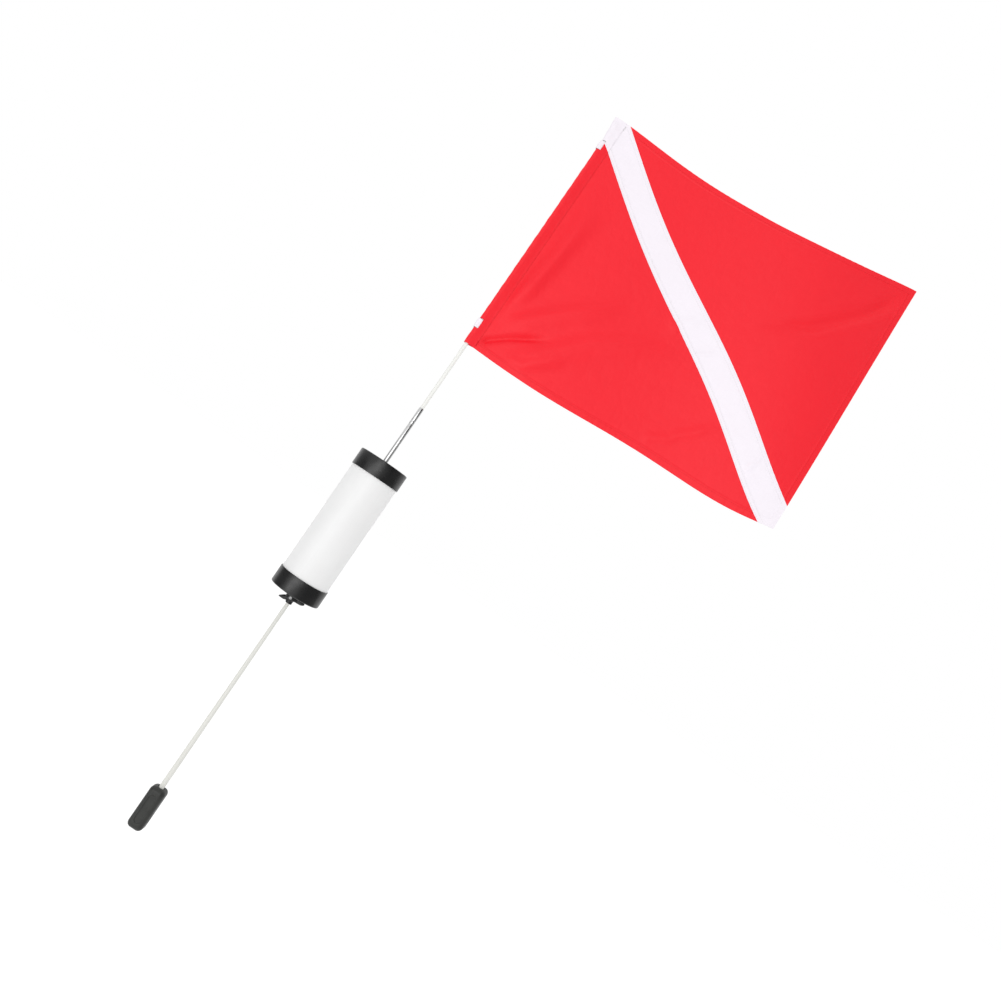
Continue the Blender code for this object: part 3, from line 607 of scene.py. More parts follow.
@dataclass(frozen=True)
class ExtrudedPlastic(Finish):
    """White tube: faint die lines along it, cloudy patches and thin scuffs."""

    def build(self, graph: Graph) -> None:
        """Build the tube's nodes.

        Args:
            graph: The material's node tree.
        """
        here = graph.here()
        lines = graph.noise(here, (900, 900, 6), 3)
        clouds = graph.noise(here, 26.0)
        scuffs = graph.noise(here, (60, 60, 700), 6, 0.7)
        scuffed = graph.band(scuffs, 0.62, 0.72)
        cloudy = graph.tint(graph.band(clouds, 0.3, 0.7), self.colour, self.shade(0.975))
        lined = graph.tint(graph.band(lines, 0.35, 0.75, 0.0, 0.5), cloudy, self.shade(0.96))
        graph.set(
            Base_Color=graph.tint(graph.times(scuffed, 0.35), lined, self.shade(0.93)),
            Roughness=graph.sum("ADD", graph.band(lines, 0.3, 0.7, 0.34, 0.46), graph.times(scuffed, 0.12)),
            Normal=graph.relief(scuffs, 0.00002, graph.relief(lines, 0.00003)),
            Subsurface_Weight=0.15,
            Subsurface_Radius=(1.0, 1.0, 1.0),
            Subsurface_Scale=0.012,
        )


@dataclass(frozen=True)
class MouldedPlastic(Finish):
    """Black moulding: a spark eroded grain, handling marks, and edges rubbed paler."""

    roughness: float = 0.40
    grain: float = 2600.0
    edge_r: float = 0.0
    edge_z: float = 0.0
    worn: float = 0.0

    def build(self, graph: Graph) -> None:
        """Build the moulding's nodes.

        Args:
            graph: The material's node tree.
        """
        here = graph.here()
        grain = graph.noise(here, self.grain, 2)
        marks = graph.noise(here, 140.0, 5, 0.65)
        rubs = graph.noise(here, (90, 90, 1100), 4, 0.7)
        rubbed = graph.band(rubs, 0.60, 0.70, 0.0, 0.5)
        body = graph.tint(graph.band(marks, 0.35, 0.7), self.colour, self.shade(1.5))
        body = graph.tint(graph.times(rubbed, 0.5), body, self.shade(2.4))
        if self.worn > 0:
            edge = graph.ring(here, self.edge_r, self.edge_z, 0.0016)
            chipped = graph.times(edge, graph.band(marks, 0.42, 0.62, 0.1, 1.0))
            body = graph.tint(graph.times(chipped, self.worn), body, self.shade(6.0))
        graph.set(
            Base_Color=body,
            Roughness=graph.band(marks, 0.3, 0.7, self.roughness - 0.06, self.roughness + 0.08),
            Normal=graph.relief(rubs, 0.000012, graph.relief(grain, 0.000022)),
            Specular_IOR_Level=0.5,
        )


@dataclass(frozen=True)
class DrawnMetal(Finish):
    """Bright drawn tube: hairlines along it, faint rings from turning, smudges and small spots."""

    roughness: float = 0.20

    def build(self, graph: Graph) -> None:
        """Build the metal's nodes.

        Args:
            graph: The material's node tree.
        """
        here = graph.here()
        hairs = graph.noise(here, (5200, 5200, 30), 3)
        rings = graph.noise(here, (40, 40, 3600), 2)
        smudges = graph.noise(here, 210.0, 5, 0.6)
        spots = graph.band(graph.cells(here, 620.0), 0.02, 0.16, 1.0, 0.0)
        toned = graph.tint(graph.band(smudges, 0.35, 0.7, 0.0, 0.6), self.colour, self.shade(0.86))
        rough = graph.band(hairs, 0.25, 0.75, self.roughness - 0.05, self.roughness + 0.08)
        graph.set(
            Base_Color=graph.tint(graph.times(spots, 0.2), toned, self.shade(0.7)),
            Metallic=1.0,
            Roughness=graph.sum("ADD", rough, graph.band(smudges, 0.45, 0.75, 0.0, 0.14)),
            Normal=graph.relief(rings, 0.000003, graph.relief(hairs, 0.000005)),
        )


@dataclass(frozen=True)
class GlassFibre(Finish):
    """Pultruded rod: glass strands under clear resin, with fine rubbed marks."""

    def build(self, graph: Graph) -> None:
        """Build the rod's nodes.

        Args:
            graph: The material's node tree.
        """
        here = graph.here()
        strands = graph.noise(here, (2600, 2600, 16), 5, 0.6)
        coarse = graph.noise(here, (900, 900, 9), 2)
        nicks = graph.noise(here, (500, 500, 2600), 4, 0.7)
        nicked = graph.band(nicks, 0.64, 0.72)
        body = graph.tint(graph.band(strands, 0.3, 0.7), self.shade(0.95), self.shade(1.03))
        body = graph.tint(graph.band(coarse, 0.45, 0.7, 0.0, 0.5), body, self.shade(0.92))
        graph.set(
            Base_Color=graph.tint(graph.times(nicked, 0.3), body, self.shade(1.1)),
            Roughness=graph.sum("ADD", graph.band(strands, 0.3, 0.7, 0.34, 0.44), graph.times(nicked, 0.2)),
            Normal=graph.relief(nicks, 0.000004, graph.relief(strands, 0.000006)),
            Subsurface_Weight=0.15,
            Subsurface_Radius=(1.0, 1.0, 1.0),
            Subsurface_Scale=0.001,
        )


@dataclass(frozen=True)
class DippedVinyl(Finish):
    """Plastisol coat: soft orange peel, small pits and a dusty bloom."""

    def build(self, graph: Graph) -> None:
        """Build the coat's nodes.

        Args:
            graph: The material's node tree.
        """
        here = graph.here()
        peel = graph.noise(here, 520.0, 3, 0.5)
        fine = graph.noise(here, 2800.0, 2)
        bloom = graph.noise(here, 70.0, 6, 0.65)
        pits = graph.band(graph.cells(here, 900.0), 0.0, 0.12)
        body = graph.tint(graph.band(bloom, 0.4, 0.72, 0.0, 0.8), self.colour, self.shade(1.9))
        graph.set(
            Base_Color=graph.tint(graph.sum("SUBTRACT", 1.0, pits), body, self.shade(0.5)),
            Roughness=graph.band(bloom, 0.3, 0.7, 0.40, 0.56),
            Normal=graph.relief(pits, 0.00003, graph.relief(fine, 0.00002, graph.relief(peel, 0.00012))),
            Specular_IOR_Level=0.4,
        )


@dataclass(frozen=True)
class CastMetal(Finish):
    """Cast slug: cold laps, a grainy skin and dull grey bloom."""

    def build(self, graph: Graph) -> None:
        """Build the casting's nodes.

        Args:
            graph: The material's node tree.
        """
        here = graph.here()
        skin = graph.noise(here, 380.0, 6, 0.65)
        laps = graph.noise(here, (60, 60, 420), 3)
        bloomed = graph.tint(graph.band(skin, 0.35, 0.7), self.colour, self.shade(1.7))
        graph.set(
            Base_Color=graph.tint(graph.band(laps, 0.5, 0.75, 0.0, 0.5), bloomed, self.shade(0.7)),
            Metallic=0.9,
            Roughness=graph.band(skin, 0.3, 0.7, 0.50, 0.72),
            Normal=graph.relief(laps, 0.00015, graph.relief(skin, 0.00012)),
        )


@dataclass(frozen=True)
class FlagCloth(Finish):
    """Plain woven nylon: warp and weft, slubs, uneven dye, a rumpled hand and a soft sheen."""

    thread: float = 0.00042
    sheen: float = 0.04

    def build(self, graph: Graph) -> None:
        """Build the cloth's nodes.

        Args:
            graph: The material's node tree.
        """
        flat = graph.flat()
        turns = math.tau / self.thread
        warp, weft = (graph.sum("SINE", graph.times(run, turns)) for run in graph.split(flat)[:2])
        weave = graph.band(graph.times(warp, weft), -1.0, 1.0)
        slubs = graph.sum("ADD", graph.noise(flat, (2300, 40, 1), 3), graph.noise(flat, (40, 2300, 1), 3))
        dye = graph.noise(flat, 17.0, 5, 0.6)
        rumple = graph.noise(flat, 62.0, 4, 0.6)
        body = graph.tint(graph.band(dye, 0.3, 0.7), self.shade(0.985), self.shade(1.01))
        body = graph.tint(graph.band(slubs, 0.8, 1.2, 0.0, 0.6), body, self.shade(0.95))
        graph.set(
            Base_Color=graph.tint(graph.times(weave, 0.10), body, self.shade(0.80)),
            Roughness=graph.band(slubs, 0.8, 1.2, 0.44, 0.54),
            Normal=graph.relief(weave, 0.00003, graph.relief(slubs, 0.00004, graph.relief(rumple, 0.0009))),
            Specular_IOR_Level=0.4,
            Sheen_Weight=self.sheen,
            Sheen_Roughness=0.4,
        )


@dataclass(frozen=True)
class Thread(Finish):
    """Sewing thread: two twisted plies."""

    def build(self, graph: Graph) -> None:
        """Build the thread's nodes.

        Args:
            graph: The material's node tree.
        """
        here = graph.here()
        plies = graph.noise(here, 5200.0, 2)
        graph.set(
            Base_Color=graph.tint(graph.band(plies, 0.35, 0.65), self.shade(0.8), self.colour),
            Roughness=graph.band(graph.noise(here, 1300.0), 0.3, 0.7, 0.55, 0.8),
            Normal=graph.relief(plies, 0.00005),
            Specular_IOR_Level=0.3,
        )


@dataclass(frozen=True)
class Finishes:
    """Every finish of the object."""

    tube: Finish = ExtrudedPlastic("white_extruded_tube", "tube", (0.868, 0.868, 0.868))
    cap: Finish = MouldedPlastic(
        "black_moulded_cap", "cap", (0.0025, 0.0025, 0.0028), 0.28, 2600.0, 0.0329, 0.0975, 0.55
    )
    nylon: Finish = MouldedPlastic("black_nylon", "nylon", (0.005, 0.005, 0.0055), 0.42, 3800.0)
    metal: Finish = DrawnMetal("bright_drawn_tube", "steel", (0.62, 0.62, 0.62))
    screw: Finish = DrawnMetal("turned_screw", "steel", (0.30, 0.30, 0.30), 0.40)
    pole_rod: Finish = GlassFibre("pale_glass_fibre", "pole_rod", (0.72, 0.72, 0.68))
    mast_rod: Finish = GlassFibre("white_glass_fibre", "mast_rod", (0.84, 0.84, 0.81))
    vinyl: Finish = DippedVinyl("dipped_vinyl", "vinyl", (0.019, 0.020, 0.018))
    slug: Finish = CastMetal("cast_slug", "slug", (0.24, 0.25, 0.27))
    red: Finish = FlagCloth("red_flag_cloth", "red_cloth", (0.92, 0.005, 0.018))
    white: Finish = FlagCloth("white_flag_cloth", "white_cloth", (0.925, 0.872, 0.935))
    red_thread: Finish = Thread("red_sewing_thread", "red_cloth", (0.82, 0.012, 0.022))
    white_thread: Finish = Thread("white_sewing_thread", "white_cloth", (0.88, 0.86, 0.88))


# Float


@dataclass
class FloatBody:
    """The white tube, its two caps and their bushings."""

    finishes: Finishes
    length: float = 0.1957
    tube_r: float = 0.0320
    tube_wall: float = 0.0020
    cap_height: float = 0.0225
    cap_r: float = 0.0333
    cap_end: float = 0.0030
    edge_r: float = 0.0014
    rim: float = 0.0045
    dish: float = 0.0006
    land_r: float = 0.0100
    boss_r: float = 0.0077
    boss_bore_r: float = 0.0059
    boss_depth: float = 0.0120
    rib_count: int = 6
    rib_thickness: float = 0.0016
    rib_depth: float = 0.0060
    bushing_r: float = 0.0050
    upper_bore_r: float = 0.0035
    lower_bore_r: float = 0.0028
    flange_r: float = 0.0070
    flange: float = 0.0008

    def build(self) -> None:
        """Build and dress the float."""
        self.tube()
        upper = self.cap()
        turned_over = Matrix.Rotation(math.pi, 4, "X")
        lower = upper.copied("cap_lower_moulding", turned_over)
        upper.fitted(Body.FLOAT, self.finishes.cap, "cap_upper")
        lower.fitted(Body.FLOAT, self.finishes.cap, "cap_lower")
        self.bushing("bushing_upper_collar", self.upper_bore_r, Matrix.Identity(4), "bushing_upper")
        self.bushing("bushing_lower_collar", self.lower_bore_r, turned_over, "bushing_lower")

    def tube(self) -> None:
        """Build the tube, with its cut ends eased."""
        half = self.length / 2 - self.cap_end - GAP
        bore, ease = self.tube_r - self.tube_wall, self.tube_wall / 5
        sides = ((self.tube_r, half), (self.tube_r, -half), (bore, -half), (bore, half))
        tube = Piece.turned("float_tube_extrusion", [(*side, ease) for side in sides], 128, steps=3)
        tube.smoothed().fitted(Body.FLOAT, self.finishes.tube, "float_tube")

    def cap(self) -> Piece:
        """Build the upper cap with its dished face, its boss and its ribs.

        Returns:
            The cap, in its place.
        """
        top = self.length / 2
        seat_r, dish_r, hole_r = self.tube_r + GAP, self.cap_r - self.rim, self.bushing_r + GAP
        under, foot, boss_foot = top - self.cap_end, top - self.cap_height, top - self.cap_end - self.boss_depth
        small = self.dish / 2
        outline = [(hole_r, top, small), (self.land_r, top, small)]
        outline += [(self.land_r + self.dish, top - self.dish, small), (dish_r - self.dish, top - self.dish, small)]
        outline += [(dish_r, top, small), (self.cap_r, top, self.edge_r), (self.cap_r, foot, small)]
        outline += [(seat_r, foot, small / 2), (seat_r, under, 0), (self.boss_r, under, 0)]
        outline += [(self.boss_r, boss_foot, small), (self.boss_bore_r, boss_foot, small)]
        outline += [(self.boss_bore_r, under, 0), (hole_r, under, 0)]
        cap = Piece.turned("cap_upper_moulding", outline, 96)
        inner, outer = self.boss_r - self.rib_thickness / 2, self.tube_r - self.tube_wall - 2 * GAP
        high, low = under + self.cap_end / 2, under - self.rib_depth
        size, at = (outer - inner, self.rib_thickness, high - low), ((inner + outer) / 2, 0, (high + low) / 2)
        rib = Piece.box("cap_rib", size, at)
        rib.bevelled(
            self.rib_thickness / 4, 2, lambda spot: spot.z < low + WELD and abs(spot.y) > self.rib_thickness / 3
        )
        for turn in range(self.rib_count):
            angle = math.tau * turn / self.rib_count
            cap.worked_into(rib.copied(f"cap_rib_{turn}", Matrix.Rotation(angle, 4, "Z")), Blend.JOIN)
        bpy.data.objects.remove(rib.obj, do_unlink=True)
        return cap.smoothed()

    def bushing(self, name: str, bore_r: float, placing: Matrix, node: str) -> None:
        """Build a bushing's collar and sleeve.

        Args:
            name: The piece's name.
            bore_r: The bore's radius.
            placing: Upright, or turned over for the lower cap.
            node: The CAD node that it replaces.
        """
        seat, inner_end = self.length / 2 + GAP, self.length / 2 - self.cap_end
        top, small = seat + self.flange, self.flange / 4
        outline = [(bore_r, top, small), (self.flange_r, top, self.flange / 2), (self.flange_r, seat, small / 2)]
        outline += [(self.bushing_r, seat, 0), (self.bushing_r, inner_end, small), (bore_r, inner_end, small)]
        collar = Piece.turned(name, outline, 48).moved(placing)
        collar.smoothed().fitted(Body.FLOAT, self.finishes.nylon, node)


# Pole


@dataclass(frozen=True)
class Horn:
    """A tapered horn of the line cleat, from the pole's axis to its tip."""

    name: str
    radius: float
    reach: float
    root_drop: float
    tip_drop: float
    radius_shares: tuple[float, ...]
    along_shares: tuple[float, ...] = (0.0, 0.35, 0.58, 0.76, 0.90, 1.0)
    flatness: float = 0.85

    def shaped(self, top: float) -> Piece:
        """Turn the horn and lay it in the cleat.

        Args:
            top: The height of the cleat's upper face.

        Returns:
            The horn.
        """
        root = Vector((0, 0, top - self.root_drop))
        run = Vector((self.reach, 0, self.root_drop - self.tip_drop))
        outline = [(0.0, 0.0, 0)]
        for along, share in zip(self.along_shares, self.radius_shares):
            outline.append((self.radius * share, run.length * along, self.radius / 2 if along else 0.0))
        outline.append((0.0, run.length, 0))
        horn = Piece.turned(self.name, outline, 32, steps=4)
        flat = Matrix.Diagonal((1, self.flatness, 1, 1))
        lay = run.to_track_quat("Z", "Y").to_matrix().to_4x4()
        return horn.moved(Matrix.Translation(root) @ flat @ lay)


@dataclass
class WeightedPole:
    """The rod through the float, its metal socket tube, the line cleat and the dipped weight."""

    finishes: Finishes
    rod_r: float = 0.0025
    rod_foot_r: float = 0.0033
    rod_top: float = 0.12495
    taper_z: float = -0.13785
    weight_top: float = -0.37615
    rod_in_weight: float = 0.0380
    socket_r: float = 0.0032
    socket_wall: float = 0.0004
    socket_foot: float = 0.03785
    joint_z: float = 0.15565
    dimple_z: float = 0.12675
    dimple_r: float = 0.0017
    dimple_depth: float = 0.0010
    dimple_presses: int = 8
    dimple_slope: float = 0.7
    cleat_top: float = -0.09945
    cleat_height: float = 0.0121
    cleat_voxel: float = 0.0003
    hub_r: float = 0.0082
    band: float = 0.0064
    neck_r: float = 0.0043
    fillet: float = 0.0024
    edge: float = 0.0008
    foot_edge: float = 0.0006
    bore_r: float = 0.0028
    horns: tuple[Horn, Horn] = (
        Horn("left_horn", 0.0031, -0.0152, 0.0055, 0.0105, (1.0, 1.0, 0.97, 0.66, 0.40, 0.16)),
        Horn("right_horn", 0.0034, 0.0181, 0.0037, 0.0033, (1.0, 1.0, 0.96, 0.88, 0.60, 0.14)),
    )
    screw_drop: float = 0.0039
    screw_r: float = 0.0014
    head_r: float = 0.0022
    head_height: float = 0.0014
    key_r: float = 0.0011
    pocket_round: float = 2.05
    weight_length: float = 0.0560
    weight_width: float = 0.0204
    weight_round: float = 0.0062
    weight_voxel: float = 0.00045
    coat: float = 0.0016
    recess: Triple = (0.0096, 0.0009, 0.0380)
    slot: Triple = (0.0018, 0.0010, 0.0140)
    slot_above_foot: float = 0.0120
    countersink: float = 0.0012

    def build(self) -> None:
        """Build and dress the pole."""
        self.rod()
        self.socket()
        self.cleat()
        self.screw()
        self.weight()

    def rod(self) -> None:
        """Build the rod: even through the float, thicker towards the weight."""
        foot, ease = self.weight_top - self.rod_in_weight, self.rod_r / 6
        outline = [(0.0, self.rod_top, 0), (self.rod_r, self.rod_top, ease), (self.rod_r, self.taper_z, 0)]
        outline += [(self.rod_foot_r, self.weight_top, 0), (self.rod_foot_r, foot, ease), (0.0, foot, 0)]
        rod = Piece.turned("lower_rod_pultruded", outline, 40, steps=3)
        rod.smoothed().fitted(Body.POLE, self.finishes.pole_rod, "lower_rod")

    def socket(self) -> None:
        """Build the socket tube, then press its dimple ring by ring."""
        bore, lip = self.socket_r - self.socket_wall, self.socket_wall / 3
        fine = [self.dimple_z + step * self.dimple_r / 6 for step in range(9, -10, -1)]
        outline = [(self.socket_r, self.joint_z, lip), *((self.socket_r, z, 0) for z in fine)]
        outline += [(self.socket_r, self.socket_foot, lip), (bore, self.socket_foot, lip)]
        outline += [*((bore, z, 0) for z in reversed(fine)), (bore, self.joint_z, lip)]
        tube = Piece.turned("socket_tube_drawn", outline, 64, steps=3)
        at = Vector((self.socket_r, 0, self.dimple_z))
        with tube.editing():
            for step in range(self.dimple_presses):
                reach = self.dimple_r * (1 - step / self.dimple_presses) ** self.dimple_slope
                tube.pick(Part.CORNERS, lambda spot: (spot - at).yz.length < reach and spot.x > 0)
                bpy.ops.transform.translate(value=(-self.dimple_depth / self.dimple_presses, 0, 0))
        tube.smoothed(40).fitted(Body.POLE, self.finishes.metal, "socket_tube")

    def cleat(self) -> None:
        """Build the cleat: a turned hub, its horns run into it, then its bore and its screw's seat."""
        top, foot = self.cleat_top, self.cleat_top - self.cleat_height
        under = top - self.band
        outline = [(0.0, top, 0), (self.hub_r, top, self.edge), (self.hub_r, under, self.edge)]
        outline += [(self.neck_r, under, self.fillet), (self.neck_r, foot, self.foot_edge), (0.0, foot, 0)]
        cleat = Piece.turned("line_cleat_moulding", outline, 64)
        for horn in self.horns:
            cleat.worked_into(horn.shaped(top), Blend.JOIN)
        cleat.melted(self.cleat_voxel, 5)
        on_axis, on_side = (0, 0, (top + foot) / 2), (0, -self.hub_r, top - self.screw_drop)
        level = (QUARTER, 0, 0)
        for name, radius, depth, facets, at, turn in (
            ("cleat_bore", self.bore_r, self.cleat_height, 48, on_axis, AXIS),
            ("screw_spot_face", self.head_r + GAP, self.edge, 32, on_side, level),
            ("screw_hole", self.screw_r + GAP, self.hub_r, 32, on_side, level),
        ):
            cleat.worked_into(Piece.cylinder(name, radius, 2 * depth, facets, at, turn), Blend.CUT)
        cleat.smoothed(40).fitted(Body.POLE, self.finishes.nylon, "line_cleat")

    def screw(self) -> None:
        """Build the clamp screw with its hexagon socket."""
        land = self.hub_r - self.edge + GAP
        top, small = land + self.head_height, self.head_height / 12
        outline = [(0.0, top, 0), (self.head_r, top, self.head_height / 2), (self.head_r, land, small)]
        outline += [(self.screw_r, land, small), (self.screw_r, self.bore_r, self.screw_r / 4)]
        outline += [(0.0, self.bore_r, 0)]
        screw = Piece.turned("cleat_screw_turned", outline, 40)
        key = Piece.cylinder("screw_key", self.key_r, self.head_height, 6, (0, 0, top))
        screw.worked_into(key, Blend.CUT)
        lay = Matrix.Translation((0, 0, self.cleat_top - self.screw_drop)) @ Matrix.Rotation(QUARTER, 4, "X")
        screw.moved(lay).smoothed().fitted(Body.POLE, self.finishes.screw, "cleat_screw")

    def weight(self) -> None:
        """Build the dipped coat: block, room for the slug, mouth, recesses and slots, then softened."""
        top, foot = self.weight_top, self.weight_top - self.weight_length
        middle = (top + foot) / 2
        blocks = []
        for name, skin in (("weight_coat_dipped", 0.0), ("coat_room", self.coat)):
            side = self.weight_width - 2 * skin
            block = Piece.box(name, (side, side, self.weight_length - 2 * skin), (0, 0, middle))
            blocks.append(block.bevelled(self.weight_round - skin, 8))
        coat, room = blocks
        coat.worked_into(room, Blend.CUT)
        mouth = Piece.cylinder("coat_mouth", self.rod_foot_r + GAP, 4 * self.coat, 48, (0, 0, top))
        coat.worked_into(mouth, Blend.CUT)
        sink = Piece.started(
            "coat_countersink",
            bpy.ops.mesh.primitive_cone_add,
            radius1=self.rod_foot_r,
            radius2=self.rod_foot_r + 2 * self.countersink,
            depth=2 * self.countersink,
            vertices=48,
            location=(0, 0, top),
        )
        coat.worked_into(sink, Blend.CUT)
        slot_z = foot + self.slot_above_foot + self.slot[2] / 2
        for turn in range(4):
            facing = Matrix.Rotation(math.tau * turn / 4, 4, "Z")
            (wide, deep, high), height = (self.recess, middle) if turn % 2 == 0 else (self.slot, slot_z)
            at = (0, -self.weight_width / 2, height)
            cutter = Piece.box(f"coat_pocket_{turn}", (wide, 2 * deep, high), at)
            cutter.bevelled(
                wide / self.pocket_round, 8, lambda spot: abs(spot.x) > wide / 3 and abs(spot.z - height) > high / 3
            )
            coat.worked_into(cutter.moved(facing), Blend.CUT)
        coat.melted(self.weight_voxel, 3)
        coat.smoothed(80).fitted(Body.POLE, self.finishes.vinyl, "weight_coat")


# Mast


@dataclass
class Mast:
    """The upper rod with its spigot, and the metal sleeve above the joint."""

    finishes: Finishes
    rod_r: float = 0.0025
    spigot_foot: float = 0.12835
    top: float = 0.61925
    joint_z: float = 0.15565
    sleeve_length: float = 0.0240
    sleeve_r: float = 0.0032
    sleeve_bore_r: float = 0.0028
    crimp: float = 0.00022

    def build(self) -> None:
        """Build and dress the mast."""
        self.rod()
        self.sleeve()

    def rod(self) -> None:
        """Build the upper rod, with its cut ends eased."""
        top, foot, ease = self.top, self.spigot_foot, self.rod_r / 6
        outline = [(0.0, top, 0), (self.rod_r, top, ease), (self.rod_r, foot, ease), (0.0, foot, 0)]
        rod = Piece.turned("upper_rod_pultruded", outline, 40, steps=3)
        rod.smoothed().fitted(Body.MAST, self.finishes.mast_rod, "upper_rod")

    def sleeve(self) -> None:
        """Build the sleeve with its crimped groove."""
        foot, head = self.joint_z + GAP, self.joint_z + self.sleeve_length
        groove, crimp, waist = foot + self.sleeve_length / 6, self.crimp, self.sleeve_r - self.crimp
        outline = [(self.sleeve_bore_r, head, crimp / 3), (self.sleeve_r, head, crimp)]
        outline += [(self.sleeve_r, groove + 3 * crimp, crimp), (waist, groove + 2 * crimp, crimp / 2)]
        outline += [(waist, groove, crimp / 2), (self.sleeve_r, groove - crimp, crimp)]
        outline += [(self.sleeve_r, foot, crimp), (self.sleeve_bore_r, foot, crimp / 3)]
        sleeve = Piece.turned("mast_sleeve_crimped", outline, 64, steps=3)
        sleeve.smoothed().fitted(Body.MAST, self.finishes.metal, "mast_sleeve")


# Flag


def eased(share: float) -> float:
    """Ease a share from 0 to 1.

    Args:
        share: The share, which is held to 0 to 1.

    Returns:
        The eased share.
    """
    share = min(max(share, 0.0), 1.0)
    return share * share * (3 - 2 * share)


@dataclass(frozen=True)
class Crease:
    """A fold of the flag along a line of the flat cloth, which may run out more gently on its right."""

    line: tuple[Flat, ...]
    width: float
    depth: float
    start: float = 0.20
    end: float = 0.40
    gentle: float = 1.0

    def at(self, along: float, up: float) -> float:
        """Return how far the fold lifts the cloth towards -Y at a flat point.

        Args:
            along: Metres from the hoist's edge.
            up: Metres from the foot.

        Returns:
            The lift in metres.
        """
        spot, points = Vector((along, up)), [Vector(point) for point in self.line]
        reach = 3 * self.width * self.gentle
        if not self.near(spot, points, reach):
            return 0.0
        nearest, place, gone, width = reach, 0.0, 0.0, self.width
        for here, there in zip(points, points[1:]):
            span = (there - here).length
            share = min(max((spot - here).dot(there - here) / span**2, 0.0), 1.0)
            off = (spot - here.lerp(there, share)).length
            if off < nearest:
                nearest, place = off, gone + share * span
                on_left = (there - here).cross(spot - here) > 0
                width = self.width * (1.0 if on_left else self.gentle)
            gone += span
        taper = eased(place / gone / self.start) * eased((1 - place / gone) / self.end)
        return self.depth * taper * math.exp(-((nearest / width) ** 2))

    def near(self, spot: Vector, points: Sequence[Vector], reach: float) -> bool:
        """Return whether a spot is within reach of the line's bounds.

        Args:
            spot: The flat point.
            points: The line's points.
            reach: How near counts.

        Returns:
            Whether it is near.
        """
        return all(
            min(point[axis] for point in points) - reach < spot[axis] < max(point[axis] for point in points) + reach
            for axis in (0, 1)
        )


CREASES = (
    Crease(((0.014, 0.0105), (0.045, 0.0365), (0.068, 0.051), (0.098, 0.068)), 0.0040, -0.0046, start=0.10),
    Crease(((0.024, 0.042), (0.039, 0.056), (0.089, 0.105), (0.155, 0.158)), 0.0095, 0.0048, gentle=1.8),
    Crease(
        ((0.051, 0.013), (0.077, 0.030), (0.139, 0.091), (0.191, 0.116), (0.251, 0.127)), 0.0115, 0.0048, gentle=1.8
    ),
    Crease(((0.017, 0.040), (0.031, 0.110), (0.036, 0.154), (0.036, 0.225), (0.026, 0.297)), 0.0100, 0.0034),
    Crease(((0.028, 0.070), (0.041, 0.168), (0.052, 0.242), (0.055, 0.268)), 0.0115, 0.0036),
    Crease(((0.299, 0.204), (0.363, 0.244), (0.414, 0.298), (0.446, 0.341)), 0.0080, -0.0050, 0.35, 0.15),
    Crease(((0.283, 0.033), (0.309, 0.052), (0.333, 0.074)), 0.0060, 0.0020),
    Crease(((0.255, 0.016), (0.278, 0.027), (0.300, 0.037)), 0.0060, 0.0018),
    Crease(((0.050, 0.017), (0.077, 0.015), (0.129, 0.059)), 0.0070, 0.0022),
    Crease(((0.254, 0.137), (0.268, 0.144), (0.283, 0.152)), 0.0030, 0.0018),
    Crease(((0.388, 0.044), (0.393, 0.057), (0.397, 0.072)), 0.0035, 0.0022),
    Crease(((0.206, 0.155), (0.246, 0.182)), 0.0090, 0.0020),
)


